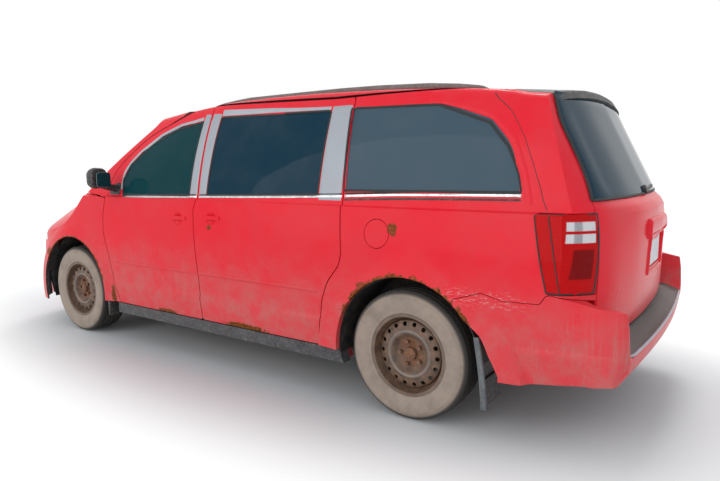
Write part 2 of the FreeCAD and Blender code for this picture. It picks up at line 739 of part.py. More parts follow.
HOOD_HALF = (
    (HALF - 172, 0, 1500),
    (HALF - 190, 330, 900),
    (HALF - 262, 610, 120),
    (HALF - 330, 704, 200),
    (HALF - 570, 742, 400),
    (HALF - 1030, 778, 30),
    (HALF - 954, 450, 900),
    (HALF - 918, 0, 600),
)
BUMPER_TOP = SILL + 395
hood_prism = prism_z(mirrored_plan(HOOD_HALF), BELT - 320, BELT + 200, 0)
hood_room = prism_z(mirrored_plan(HOOD_HALF), BELT - 320, BELT + 200, GAP)
hood = main_solid(FRONT_SKIN.common(hood_prism))
hood = hood.fuse(right(hood)).removeSplitter()
feature("hood", main_solid(hood))
LAMP_HALF = (
    (446, BUMPER_TOP + SEAL, 20),
    (905, BUMPER_TOP + SEAL, 20),
    (905, BUMPER_TOP + 120, 60),
    (780, BUMPER_TOP + 190, 60),
    (446, BUMPER_TOP + 190, 30),
)
GRILLE_HALF = ((434, BUMPER_TOP + SEAL, 30), (440, BUMPER_TOP + 190, 30))
LAMP_BACK = HALF - 420
lamp_prism = prism_x(LAMP_HALF, LAMP_BACK, HALF + 50)
lamp_room = prism_x(LAMP_HALF, LAMP_BACK - GAP / 2, HALF + 50, GAP / 2)
headlamp = WALL_SHELL.common(lamp_prism).cut(hood_room)
twins("headlamps", main_solid(headlamp))
FENDER = (
    (FRONT - 700, SILL - 2, 0),
    (FRONT, SILL - 2, 0),
    (FRONT + 200, BUMPER_TOP + SEAL, 0),
    (HALF, BUMPER_TOP + SEAL, 0),
    (HALF, BELT + 22 - GAP / 2, 0),
    (FRONT - 60, BELT + 22 - GAP / 2, 0),
    (FRONT - 450, BELT - 16 - GAP / 2, 0),
    (FRONT - 700, BELT - 16 - GAP / 2, 0),
)
fender = FLARED_FRONT.common(prism_y(FENDER, 450, WIDE))
fender = fender.cut(prism_y(FRONT_DOOR, 450, WIDE, GAP / 2)).cut(FRONT_HOLE)
fender = fender.cut(hood_room).cut(lamp_room)
fender = fender.cut(prism_z(mirrored_plan(COWL_HALF), ROOF - 800, ROOF + 100, SEAL))
twins("fenders", main_solid(fender))
front_region = prism_y(((FRONT + 150, SILL - 95, 0), (HALF + 50, SILL - 95, 0), (HALF + 50, BUMPER_TOP, 0),
                        (FRONT + 150, BUMPER_TOP, 0)), -WIDE, WIDE)
bumper_left = FLARED_FRONT.common(front_region).cut(FRONT_HOLE)
front_bumper = main_solid(bumper_left).fuse(right(main_solid(bumper_left))).removeSplitter()
intake = ((430, SILL + 10, 30), (460, SILL + 105, 30))
front_bumper = front_bumper.cut(prism_x(mirrored(intake), HALF - 300, HALF + 50))
feature("front_bumper", main_solid(front_bumper))

BAR_COUNT = 5
grille_left = prism_x(mirrored(GRILLE_HALF), LAMP_BACK, HALF + 50).common(box(0, HALF + 60, 0, WIDE, 0, ROOF))
grille_left = grille_left.cut(prism_x(mirrored(GRILLE_HALF), LAMP_BACK - 10, HALF + 60, -20))
for index in range(BAR_COUNT):
    bar_z = BUMPER_TOP + 20 + (index + 1) * 145 / (BAR_COUNT + 1)
    grille_left = grille_left.fuse(box(LAMP_BACK, HALF + 50, 0, 425, bar_z - 5, bar_z + 5))
grille_left = main_solid(grille_left.common(FRONT_OUTER).cut(hull(30)).cut(hood_room))
feature("grille", main_solid(grille_left.fuse(right(grille_left))))

# Liftgate with its glass, spoiler and wiper

gate_glass_prism = prism_x(mirrored(GATE_GLASS_HALF), -HALF - 100, REAR - 640)
gate_glass_room = prism_x(mirrored(GATE_GLASS_HALF), -HALF - 100, REAR - 640, SEAL)
liftgate = WALL_SHELL.common(GATE_REGION).cut(gate_glass_room)
# The gate is narrower behind its skin, so that it leaves the opening as it swings up
gate_core = prism_x(mirrored(GATE_HALF), -HALF - 200, GATE_FRONT, -size("gate_flange"))
liftgate = main_solid(liftgate.cut(UNDER_SKIN.cut(gate_core)))
PLATE_X = -HALF + 96
PLATE_HIGH = BELT - 160
PLATE_LOW = PLATE_HIGH - 168
plate_recess = prism_x(mirrored(((168, PLATE_LOW, 16), (168, PLATE_HIGH, 16))), -HALF - 50, PLATE_X)
liftgate = liftgate.cut(plate_recess)
for screw_y in (-size("plate_screws") / 2, size("plate_screws") / 2):
    screw_hole = Part.makeCylinder(size("plate_screw_radius"), 30, Vector(PLATE_X - 1, screw_y, PLATE_HIGH - 26),
                                   Vector(1, 0, 0))
    liftgate = liftgate.cut(screw_hole)
feature("liftgate", liftgate)
feature("liftgate_glass", glazed(gate_glass_prism))
WING_FRONT = GATE_FRONT - 22


def wing_section(y, drop):
    """Side profile of the spoiler at one distance from the middle plane."""
    tip = REAR - 760 + 0.25 * drop
    top = ROOF - 28 - drop
    points = [
        (WING_FRONT, y, top - 12),
        (WING_FRONT - 30, y, top + 3),
        (WING_FRONT - 180, y, top - 8),
        (tip, y, top - 52),
        (tip - 4, y, top - 72),
        (tip + 60, y, top - 84),
        (WING_FRONT - 120, y, top - 50),
    ]
    return Part.makePolygon([Vector(*point) for point in points + points[:1]])


wing_sections = ((-632, 34), (-560, 22), (-280, 5), (0, 0), (280, 5), (560, 22), (632, 34))
wing = Part.makeLoft([wing_section(y, drop) for y, drop in wing_sections], True, False)
wing = wing.cut(hull(-SEAL))
feature("spoiler", main_solid(wing))

WIPER_Z = BELT + 62
WIPER_X = -HALF + 132
wiper_boss = Part.makeCylinder(24, 60, Vector(WIPER_X + 40, 0, WIPER_Z - 6), Vector(-1, 0, 0.35))
wiper_arm = Part.makeLoft([
    outline(((-7, -9, 3), (7, -9, 3), (7, 9, 3), (-7, 9, 3)), lambda p, y=y, z=z, x=x: Vector(x + p.x, y, z + p.y))
    for x, y, z in ((WIPER_X - 14, 10, WIPER_Z + 6), (WIPER_X + 6, -330, WIPER_Z + 20))
], True, False)
wiper = wiper_boss.fuse(wiper_arm).cut(hull(-SEAL))
feature("rear_wiper", main_solid(wiper))

# Inner side frames: sills, pillars and cant rails behind the doors

FRAME_SIDE = (
    (-HALF - 50, SILL + 150, 0),
    (REAR, SILL + 150, 0),
    (REAR, SILL - 70, 0),
    (FRONT - 655, SILL - 70, 0),
    (FRONT - 655, ROOF - 370, 0),
    (FRONT - 900, ROOF - 150, 0),
    (FRONT - 1100, ROOF, 0),
    (-HALF - 50, ROOF, 0),
)
frame_left = FRAME_OUT.common(prism_y(FRAME_SIDE, LIP_IN - 8, WIDE)).cut(FRAME_IN)
rail_room = box(GATE_FRONT + 10, FRONT - 1100, LIP_IN - 100, LIP_IN - 7, ROOF - 200, ROOF)
rail = hull(size("roof_wall") + SEAL).common(rail_room).cut(FRAME_IN)
frame_left = frame_left.fuse(rail)
front_doorway = (
    (FRONT - 1440, SILL + 60, 60),
    (FRONT - 600, SILL + 60, 10),
    (FRONT - 600, BELT + 240, 10),
    (FRONT - 1000, ROOF - 190, 300),
    (FRONT - 1440, ROOF - 150, 60),
)
rear_doorway = (
    (REAR + 610, SILL + 60, 60),
    (FRONT - 1580, SILL + 60, 60),
    (FRONT - 1580, ROOF - 150, 60),
    (REAR + 610, ROOF - 160, 60),
)
rear_light = (
    (REAR - 520, BELT + 90, 60),
    (REAR + 360, BELT + 90, 60),
    (REAR + 380, ROOF - 160, 60),
    (REAR - 380, ROOF - 190, 200),
)
for opening in (front_doorway, rear_doorway, rear_light):
    frame_left = frame_left.cut(prism_y(opening, 300, WIDE))
FRAME_GATE = 40
frame_left = frame_left.cut(prism_x(mirrored(GATE_HALF), -HALF - 100, REAR - 500, -FRAME_GATE))
frame_left = frame_left.cut(REAR_HOLE)
for pad_x in (FRONT - 720, REAR + 560):
    frame_left = frame_left.fuse(box(pad_x - 45, pad_x + 45, SIDE - 174, SIDE - 114, SILL - 76, SILL - 40))
frame_left = main_solid(frame_left)
pair("side_frame", frame_left)

# Floor

FLOOR_Z = size("floor_height")
REAR_FLOOR_Z = size("rear_floor_height")
FLOOR_D = size("floor_depth")
KICK_X = REAR + 470
TAIL_X = -HALF + 190
FIREWALL_X = FRONT - 408
floor_side = (
    (KICK_X, FLOOR_Z - FLOOR_D, 30),
    (FIREWALL_X + 20, FLOOR_Z - FLOOR_D, 0),
    (FIREWALL_X + 20, FLOOR_Z, 0),
    (KICK_X, FLOOR_Z, 60),
    (KICK_X - 130, REAR_FLOOR_Z, 60),
    (TAIL_X, REAR_FLOOR_Z, 0),
    (TAIL_X, REAR_FLOOR_Z - FLOOR_D, 0),
    (KICK_X - 130, REAR_FLOOR_Z - FLOOR_D, 30),
)
TUB_IN = 640
FRONT_LINER_IN = 499
floor = prism_y(floor_side, -SIDE, SIDE).common(hull(WALL + 2 * SEAL + size("frame_depth")))
tail_sill = FRAME_OUT.common(box(-HALF, REAR - 800, -720, 720, REAR_FLOOR_Z - FLOOR_D - 60, SILL + 332)).cut(FRAME_IN)
floor = floor.fuse(tail_sill)
for side in (1, -1):
    rooms = (
        wheel_cylinder(REAR_ARCH, REAR, TUB_IN - 6, WIDE),
        wheel_cylinder(FRONT_ARCH, FRONT, FRONT_LINER_IN - 2, WIDE),
        box(FRONT - 455, FRONT, 700, WIDE, 0, SILL),
    )
    for room in rooms:
        floor = floor.cut(room if side == 1 else right(room))
feature("floor_pan", main_solid(floor))

# Wheel arch liners: a thin drum round each wheel with its inner wall

LINER = 6
FRONT_LINER_R = FRONT_ARCH - SEAL
REAR_LINER_R = REAR_ARCH - SEAL
KING_LOW = Vector(FRONT, size("kingpin_low_y"), size("kingpin_low_z"))
KING_TOP = Vector(FRONT, size("kingpin_top_y"), size("kingpin_top_z"))
KING_WAY = (KING_TOP - KING_LOW).normalize()


def liner(centre_x, radius, inner_y, front_z, back_z):
    drum = wheel_cylinder(radius, centre_x, inner_y, SIDE - 20)
    drum = drum.cut(wheel_cylinder(radius - LINER, centre_x, inner_y + LINER, WIDE))
    low = box(centre_x - 500, centre_x, 300, WIDE, -200, back_z)
    return drum.cut(low).cut(box(centre_x, centre_x + 500, 300, WIDE, -200, front_z))


front_liner = liner(FRONT, FRONT_LINER_R, FRONT_LINER_IN, SILL - 80, SILL - 20)
spring_hole = Part.makeCylinder(82, 900, KING_LOW, KING_WAY)
shaft_hole = side_cylinder(FRONT, AXLE_Z, 60, 300, TUB_IN)
arm_slot = box(FRONT - 260, FRONT + 120, 300, TUB_IN, 0, AXLE_Z - 20)
front_liner = front_liner.cut(spring_hole).cut(shaft_hole).cut(arm_slot)
rear_liner = liner(REAR, REAR_LINER_R, TUB_IN, SILL - 20, SILL + 60)
rear_liner = rear_liner.cut(box(REAR - 160, REAR + 430, 300, TUB_IN + 60, 0, SILL + 150))
front_liner = front_liner.common(side_hull(SKIN + 1).fuse(wheel_cylinder(FRONT_LINER_R, FRONT, 300, SIDE - 60)))
twins("front_liners", main_solid(front_liner))
rear_liner = rear_liner.cut(box(REAR - 500, REAR + 500, SIDE - 22, WIDE, 0, ROOF))
twins("rear_liners", main_solid(rear_liner))


def flap(top_x, top_z, foot_x, foot_z, centre_x, radius, low_y, high_y):
    """A mud flap that hangs from the back of a liner."""
    plate = prism_y(((foot_x - 8, foot_z, 2), (foot_x, foot_z, 2), (top_x, top_z, 2), (top_x - 60, top_z, 2)),
                    low_y, high_y)
    return plate.common(wheel_cylinder(radius, centre_x, low_y - 1, high_y + 1).fuse(
        box(centre_x - 600, centre_x, low_y, high_y, foot_z - 1, SILL - 20)))


front_flap = flap(FRONT - 400, SILL + 170, FRONT - 424, SILL - 130, FRONT, FRONT_LINER_R - LINER - SEAL, 722, 940)
rear_flap = flap(REAR - 372, SILL + 190, REAR - 418, SILL - 160, REAR, REAR_LINER_R - LINER - SEAL, 706, 915)
flaps = main_solid(front_flap).fuse(main_solid(rear_flap))
twins("mud_flaps", flaps)

# Front frame: bulkhead, upper and lower rails, strut towers and radiator frame

RAIL_OUT = FRONT_LINER_IN - SEAL
RADIATOR_X = FRONT + 610
bulkhead = prism_y((
    (FIREWALL_X + 20 + SEAL, FLOOR_Z - FLOOR_D, 0),
    (FIREWALL_X + 34, FLOOR_Z - FLOOR_D, 0),
    (FIREWALL_X + 34, BELT - 230, 60),
    (FRONT - 20, BELT - 46, 20),
    (FRONT - 20, BELT - 22, 0),
    (FIREWALL_X + 20, BELT - 200, 60),
), -690, 690).common(hull(size("roof_wall") + SEAL))
for side in (1, -1):
    arch_room = wheel_cylinder(FRONT_ARCH, FRONT, FRONT_LINER_IN - SEAL, WIDE)
    bulkhead = bulkhead.cut(arch_room if side == 1 else right(arch_room))
rail_plan = (
    (FRONT - 210, BELT - 118, 0),
    (FRONT - 50, BELT - 94, 60),
    (FRONT + 390, BELT - 186, 60),
    (RADIATOR_X + 30, BELT - 290, 0),
    (RADIATOR_X + 30, BELT - 250, 0),
    (FRONT + 390, BELT - 142, 60),
    (FRONT - 50, BELT - 44, 60),
    (FRONT - 210, BELT - 70, 0),
)
upper_rail = prism_y(rail_plan, 690, 735)
lower_rail = box(FIREWALL_X + 30, RADIATOR_X + 10, 440, RAIL_OUT, AXLE_Z + 50, AXLE_Z + 120)
tower = box(FRONT - 80, FRONT + 80, 560, 735, KING_TOP.z + 6, KING_TOP.z + 24)
tower = tower.fuse(box(FRONT - 80, FRONT + 80, 700, 735, KING_TOP.z + 6, BELT - 90))
post = box(RADIATOR_X, RADIATOR_X + 30, 420, 735, SILL + 60, BELT - 252)
under_hood = hull(SKIN + SEAL)
side_members = upper_rail.fuse(tower).fuse(post).fuse(lower_rail).common(under_hood)
side_members = side_members.cut(lamp_room.cut(FRAME_OUT))
# A rubber stop on the upper rail carries the closed hood
stop = Part.makeCylinder(12, 220, Vector(FRONT + 60, 712, BELT - 110)).common(under_hood)
side_members = side_members.fuse(main_solid(stop))
frame_box = box(RADIATOR_X, RADIATOR_X + 30, -420, 420, SILL - 60, BELT - 252).common(under_hood)
radiator_hole = box(RADIATOR_X - 5, RADIATOR_X + 35, -380, 380, SILL - 20, BELT - 300)
front_frame = bulkhead.fuse(side_members).fuse(right(side_members)).fuse(frame_box.cut(radiator_hole))
feature("front_frame", main_solid(front_frame))
core = box(RADIATOR_X, RADIATOR_X + 30, SEAL - 380, 380 - SEAL, SILL - 20 + SEAL, BELT - 300 - SEAL)
feature("radiator", core)


# Shapes bound to the sheet by expressions

def primitive(kind, name, x="0", y="0", z="0", turn=None, **expressions):
    """A Part primitive with bound sizes and a bound place."""
    thing = doc.addObject(kind, name)
    for key, expression in expressions.items():
        thing.setExpression(key, expression)
    if turn is not None:
        thing.Placement = Placement(Vector(0, 0, 0), turn)
    thing.setExpression("Placement.Base.x", x)
    thing.setExpression("Placement.Base.y", y)
    thing.setExpression("Placement.Base.z", z)
    return thing


def sketch_on(body, plane, name, loops):
    """A sketch of closed loops of straight runs; each corner is two sheet expressions."""
    sketch = body.newObject("Sketcher::SketchObject", name)
    for part in body.Origin.OriginFeatures:
        if part.Role == plane:
            sketch.AttachmentSupport = [(part, "")]
    sketch.MapMode = "FlatFace"
    for corners in loops:
        numbers = []
        for u, v in corners:
            numbers.append((worked(u), worked(v)))
        first = sketch.GeometryCount
        count = len(corners)
        for index in range(count):
            here = Vector(*numbers[index], 0)
            after = Vector(*numbers[(index + 1) % count], 0)
            sketch.addGeometry(Part.LineSegment(here, after), False)
        for index in range(count):
            following = first + (index + 1) % count
            sketch.addConstraint(Sketcher.Constraint("Coincident", first + index, 2, following, 1))
        for index in range(count):
            for kind, value in (("DistanceX", corners[index][0]), ("DistanceY", corners[index][1])):
                number = worked(value)
                place = sketch.addConstraint(Sketcher.Constraint(kind, -1, 1, first + index, 1, number))
                sketch.setExpression("Constraints[%d]" % place, value)
    return sketch


def worked(expression):
    """The present value of a sheet expression."""
    return float(sheet.evalExpression(expression))


TYRE = (
    ("sizes.rim_half_width - sizes.rim_sheet - 4.1 - sizes.seal_gap", "sizes.rim_radius - 17 + sizes.seal_gap"),
    ("sizes.rim_half_width - sizes.rim_sheet - 0.1 - sizes.seal_gap", "sizes.rim_radius + sizes.seal_gap"),
    ("sizes.tyre_width / 2 - 10", "sizes.rim_radius + 8"),
    ("sizes.tyre_width / 2", "sizes.rim_radius + 62"),
    ("sizes.tyre_width / 2 - 6", "sizes.tyre_radius - 30"),
    ("sizes.tyre_width / 2 - 20", "sizes.tyre_radius - 8"),
    ("sizes.tyre_width / 2 - 44", "sizes.tyre_radius - 1.5"),
    ("0", "sizes.tyre_radius"),
)


def mirror_corners(corners):
    """Corners of one half, and their twins on the other side of the wheel's middle plane."""
    other = [("-(%s)" % u, v) for u, v in reversed(corners) if u != "0"]
    return list(corners) + other


def wheel_place(thing):
    """Put a wheel that was drawn about the Z axis at the front left, its outer face to the left."""
    thing.Placement = Placement(Vector(0, 0, 0), Rotation(Vector(1, 0, 0), -90))
    thing.setExpression("Placement.Base.x", FRONT_X)
    thing.setExpression("Placement.Base.y", "sizes.track / 2")
    thing.setExpression("Placement.Base.z", "sizes.tyre_radius")


def mirror_twin(label, source):
    """The right-hand twin of a document object."""
    twin = doc.addObject("Part::Mirroring", label + "_twin")
    twin.Source = source
    twin.Normal = Vector(0, 1, 0)
    return keep(label, twin)


def turned_body(name, loops):
    """A PartDesign body turned about the Z axis; corners are (height, radius)."""
    body = doc.addObject("PartDesign::Body", name)
    swapped = [[(v, u) for u, v in loop] for loop in loops]
    sketch = sketch_on(body, "XZ_Plane", name + "_profile", swapped)
    turn = body.newObject("PartDesign::Revolution", name + "_turn")
    turn.Profile = sketch
    turn.ReferenceAxis = (sketch, ["V_Axis"])
    turn.Angle = 360
    body.Tip = turn
    return body


RIM = (
    ("-sizes.rim_half_width", "sizes.rim_radius - 18"),
    ("-sizes.rim_half_width", "sizes.rim_radius"),
    ("-sizes.rim_half_width + sizes.rim_sheet", "sizes.rim_radius"),
    ("-sizes.rim_half_width + sizes.rim_sheet + 4", "sizes.rim_radius - 17"),
    ("-sizes.rim_half_width + 46", "sizes.rim_radius - 19"),
    ("-sizes.rim_half_width + 62", "sizes.rim_radius - 34"),
    ("sizes.rim_half_width - 56", "sizes.rim_radius - 30"),
    ("sizes.rim_half_width - 42", "sizes.rim_radius - 19"),
    ("sizes.rim_half_width - sizes.rim_sheet - 4", "sizes.rim_radius - 17"),
    ("sizes.rim_half_width - sizes.rim_sheet", "sizes.rim_radius"),
    ("sizes.rim_half_width", "sizes.rim_radius"),
    ("sizes.rim_half_width", "sizes.rim_radius - 18"),
    ("sizes.rim_half_width - 34", "sizes.rim_radius - 26"),
    ("sizes.rim_half_width - 52", "sizes.rim_radius - 37"),
    ("sizes.wheel_offset + 22", "sizes.vent_circle + 16"),
    ("sizes.wheel_offset + 30", "sizes.vent_circle"),
    ("sizes.wheel_offset + 34", "sizes.vent_circle - 30"),
    ("sizes.wheel_offset + 40", "sizes.bolt_circle + 58"),
    ("sizes.wheel_offset + 34", "sizes.bolt_circle + 46"),
    ("sizes.wheel_offset + 10", "sizes.bolt_circle + 24"),
    ("sizes.wheel_offset + sizes.rim_sheet", "sizes.bolt_circle + 16"),
    ("sizes.wheel_offset + sizes.rim_sheet", "sizes.hub_bore"),
    ("sizes.wheel_offset + 26", "sizes.hub_bore - 4"),
    ("sizes.wheel_offset + 30", "sizes.hub_bore - 12"),
    ("sizes.wheel_offset + 30", "0"),
    ("-sizes.hub_face_in", "0"),
    ("-sizes.hub_face_in", "sizes.hub_bore + 4"),
    ("-sizes.hub_face_in + 6", "sizes.brake_radius"),
    ("sizes.wheel_offset - 22", "sizes.brake_radius"),
    ("sizes.wheel_offset - 16", "sizes.bolt_circle + 14"),
    ("sizes.wheel_offset", "sizes.bolt_circle + 14"),
    ("sizes.wheel_offset + 4", "sizes.bolt_circle + 26"),
    ("sizes.wheel_offset + 28", "sizes.bolt_circle + 48"),
    ("sizes.wheel_offset + 34", "sizes.bolt_circle + 58"),
    ("sizes.wheel_offset + 28", "sizes.vent_circle - 30"),
    ("sizes.wheel_offset + 24", "sizes.vent_circle - 2"),
    ("sizes.wheel_offset + 16", "sizes.vent_circle + 12"),
    ("sizes.rim_half_width - 58", "sizes.rim_radius - 37"),
    ("-sizes.rim_half_width + 64", "sizes.rim_radius - 41"),
    ("-sizes.rim_half_width + 44", "sizes.rim_radius - 26"),
)


def circle_sketch(body, name, radius, distance):
    """A sketch of one circle out on the X axis, bound to the sheet."""
    sketch = body.newObject("Sketcher::SketchObject", name)
    for part in body.Origin.OriginFeatures:
        if part.Role == "XY_Plane":
            sketch.AttachmentSupport = [(part, "")]
    sketch.MapMode = "FlatFace"
    middle = Vector(worked(distance), 0, 0)
    sketch.addGeometry(Part.Circle(middle, Vector(0, 0, 1), worked(radius)), False)
    sketch.addConstraint(Sketcher.Constraint("PointOnObject", 0, 3, -1))
    across = sketch.addConstraint(Sketcher.Constraint("DistanceX", -1, 1, 0, 3, worked(distance)))
    around = sketch.addConstraint(Sketcher.Constraint("Radius", 0, worked(radius)))
    sketch.setExpression("Constraints[%d]" % across, distance)
    sketch.setExpression("Constraints[%d]" % around, radius)
    return sketch


def polar(body, name, original, sketch, count):
    """The original feature repeated round the wheel's axis."""
    pattern = body.newObject("PartDesign::PolarPattern", name)
    pattern.Originals = [original]
    pattern.Axis = (sketch, ["N_Axis"])
    pattern.Angle = 360
    pattern.setExpression("Occurrences", count)
    body.Tip = pattern
    return pattern


def wheel_body(name):
    """Pressed steel wheel with its hub and brake: turned sheet, vent holes and lug nuts."""
    body = turned_body(name, [RIM])
    doc.recompute()
    vent = circle_sketch(body, name + "_vent", "sizes.vent_radius", "sizes.vent_circle")
    hole = body.newObject("PartDesign::Pocket", name + "_hole")
    hole.Profile = vent
    hole.Type = 1
    hole.Midplane = False
    hole.Reversed = True
    body.Tip = hole
    doc.recompute()
    polar(body, name + "_holes", hole, vent, "sizes.vent_count")
    nut = circle_sketch(body, name + "_nut", "11", "sizes.bolt_circle")
    nut_pad = body.newObject("PartDesign::Pad", name + "_lug")
    nut_pad.Profile = nut
    nut_pad.setExpression("Length", "sizes.wheel_offset + sizes.rim_sheet + 22")
    body.Tip = nut_pad
    doc.recompute()
    polar(body, name + "_lugs", nut_pad, nut, "sizes.lug_count")
    return body


tyre = turned_body("tyre", [mirror_corners(TYRE)])
wheel = wheel_body("wheel")
for kind, drawn in (("tyre", tyre), ("wheel", wheel)):
    wheel_place(drawn)
    keep(kind + "_front_left", drawn)
    mirror_twin(kind + "_front_right", drawn)
    behind = doc.addObject("Part::Compound", kind + "_behind")
    behind.Links = [drawn]
    behind.setExpression("Placement.Base.x", "-sizes.wheelbase")
    keep(kind + "_rear_left", behind)
    mirror_twin(kind + "_rear_right", behind)
doc.recompute()

# Steering knuckles with their struts, on the kingpin axis

HUB_Y = "(sizes.track / 2 - sizes.hub_face_in - sizes.seal_gap)"
TILT = Rotation(Vector(0, 0, 1), KING_WAY)


def along_king(name, radius, start, end):
    """A cylinder on the left kingpin axis between two distances from its lower joint."""
    rod = doc.addObject("Part::Cylinder", name)
    rod.setExpression("Radius", radius)
    rod.Height = end - start
    rod.Placement = Placement(KING_LOW + KING_WAY * start, TILT)
    return rod


KING_LENGTH = (KING_TOP - KING_LOW).Length
STRUT_LOW = 190
STRUT_TOP = (700 - KING_LOW.z) / KING_WAY.z
SPRING_TOP = KING_LENGTH - 16
post_low = along_king("knuckle_post", "30", 2, STRUT_LOW + 10)
strut = along_king("strut_tube", "27", STRUT_LOW, STRUT_TOP + 60)
strut_rod = along_king("strut_rod", "11", STRUT_TOP, KING_LENGTH + 4)
spring = along_king("spring_seats", "62", STRUT_TOP, SPRING_TOP)
stub = primitive("Part::Cylinder", "knuckle_stub", FRONT_X, "sizes.kingpin_low_y - 45",
                 "sizes.tyre_radius", Rotation(Vector(1, 0, 0), -90), Radius="42",
                 Height=HUB_Y + " - sizes.kingpin_low_y + 45")
knuckle = doc.addObject("Part::MultiFuse", "knuckle")
knuckle.Shapes = [post_low, strut, strut_rod, spring, stub]
keep("knuckle_left", knuckle)
mirror_twin("knuckle_right", knuckle)

# Engine block, exhaust and fuel tank

engine_box = primitive("Part::Box", "engine_box", "sizes.length / 2 - sizes.front_overhang - 130",
                       "-sizes.engine_width / 2", "sizes.tyre_radius - 60", Length="sizes.engine_length",
                       Width="sizes.engine_width", Height="sizes.engine_height")
engine = doc.addObject("Part::Chamfer", "engine_block")
engine.Base = engine_box
doc.recompute()
engine.Edges = [(index + 1, 40, 40) for index in range(len(engine_box.Shape.Edges))]
keep("engine", engine)
tank_box = primitive("Part::Box", "tank_box", "sizes.length / 2 - sizes.front_overhang - 2700", "70",
                     "sizes.floor_height - sizes.floor_depth - sizes.seal_gap - 130", Length="640",
                     Width="470", Height="130")
tank = doc.addObject("Part::Fillet", "tank")
tank.Base = tank_box
doc.recompute()
tank.Edges = [(index + 1, 28, 28) for index in range(len(tank_box.Shape.Edges))]
keep("fuel_tank", tank)


def tube_run(points, radius):
    """A tube along straight runs with tangent arcs at its bends."""
    first = Vector(*points[0])
    here = first
    edges = []
    for index in range(1, len(points) - 1):
        bend = Vector(*points[index])
        way_in = (bend - here).normalize()
        way_out = (Vector(*points[index + 1]) - bend).normalize()
        turn = way_in.getAngle(way_out)
        reach = min((bend - here).Length, (Vector(*points[index + 1]) - bend).Length) * 0.45
        bend_radius = min(reach / math.tan(turn / 2), 160)
        reach = bend_radius * math.tan(turn / 2)
        start = bend - way_in * reach
        end = bend + way_out * reach
        inward = (way_out - way_in).normalize()
        middle = bend + inward * (bend_radius / math.cos(turn / 2) - bend_radius)
        edges.append(Part.LineSegment(here, start).toShape())
        edges.append(Part.Arc(start, middle, end).toShape())
        here = end
    edges.append(Part.LineSegment(here, Vector(*points[-1])).toShape())
    way = (Vector(*points[1]) - first).normalize()
    ring_wire = Part.Wire(Part.Circle(first, way, radius).toShape())
    return Part.Wire(edges).makePipeShell([ring_wire], True, False)


PIPE_Z = FLOOR_Z - FLOOR_D - 34
pipe = tube_run((
    (FRONT - 150, -150, AXLE_Z - 20),
    (FRONT - 320, -200, PIPE_Z - 24),
    (FRONT - 620, -260, PIPE_Z - 4),
    (REAR + 620, -330, PIPE_Z - 4),
    (REAR + 260, -330, PIPE_Z - 20),
    (REAR - 60, -330, PIPE_Z - 26),
    (REAR - 330, -420, PIPE_Z + 60),
), 27)
muffler = prism_x(((-620, PIPE_Z + 10, 50), (-260, PIPE_Z + 10, 50), (-260, PIPE_Z + 150, 50),
                   (-620, PIPE_Z + 150, 50)), REAR - 790, REAR - 330)
tail_pipe = tube_run((
    (REAR - 780, -560, PIPE_Z + 60),
    (REAR - 900, -570, PIPE_Z + 30),
    (REAR - 1060, -590, PIPE_Z - 14),
), 25)
hangers = box(REAR - 700, REAR - 680, -450, -430, PIPE_Z + 140, REAR_FLOOR_Z - FLOOR_D - SEAL)
feature("exhaust", main_solid(pipe.fuse(muffler).fuse(tail_pipe).fuse(hangers)))

# Axles: front cross member with its arms, drive shafts, and the rear beam with its springs

cross = box(FRONT - 190, FRONT - 60, -430, 430, KING_LOW.z - 20, KING_LOW.z + 25)
front_arm = prism_z((
    (FRONT - 170, 400, 0),
    (FRONT - 60, 400, 0),
    (FRONT + 40, KING_LOW.y - 10, 30),
    (FRONT + 30, KING_LOW.y + 26, 20),
    (FRONT - 32, KING_LOW.y + 26, 20),
    (FRONT - 70, 640, 60),
), KING_LOW.z - 24, KING_LOW.z - 4)
leg = box(FRONT - 170, FRONT - 100, 442, 497, KING_LOW.z - 24, AXLE_Z + 50 - SEAL)
side_arms = front_arm.fuse(leg)
front_axle = cross.fuse(box(FRONT - 190, FRONT - 60, 400, 470, KING_LOW.z - 24, KING_LOW.z + 20)).fuse(side_arms)
front_axle = front_axle.fuse(right(side_arms)).fuse(box(FRONT - 190, FRONT - 60, -470, -400, KING_LOW.z - 24,
                                                        KING_LOW.z + 20))
shaft_in = size("engine_width") / 2 + SEAL
shaft = side_cylinder(FRONT, AXLE_Z, 13, shaft_in, size("kingpin_low_y") - 60)
joint = side_cylinder(FRONT, AXLE_Z, 38, shaft_in, shaft_in + 60)
shaft = shaft.fuse(joint)
feature("front_axle", Part.makeCompound([main_solid(front_axle)] + shaft.Solids + right(shaft).Solids))
HUB_IN = size("track") / 2 - size("hub_face_in") - SEAL
beam = side_cylinder(REAR + 60, AXLE_Z + 10, 34, -600, 600)
trail = prism_y((
    (REAR - 50, AXLE_Z - 48, 40),
    (REAR + 60, AXLE_Z - 52, 60),
    (REAR + 400, AXLE_Z - 10, 20),
    (REAR + 400, AXLE_Z + 40, 20),
    (REAR + 60, AXLE_Z + 52, 60),
    (REAR - 50, AXLE_Z + 48, 40),
), 556, 606)
hub = side_cylinder(REAR, AXLE_Z, 42, 590, HUB_IN)
spring_seat = Part.makeCylinder(60, REAR_FLOOR_Z - FLOOR_D - SEAL - AXLE_Z, Vector(REAR + 60, 545, AXLE_Z))
rear_axle = beam.fuse(trail).fuse(hub).fuse(spring_seat)
rear_axle = rear_axle.fuse(right(trail)).fuse(right(hub)).fuse(right(spring_seat))
feature("rear_axle", main_solid(rear_axle))

# Roof rack

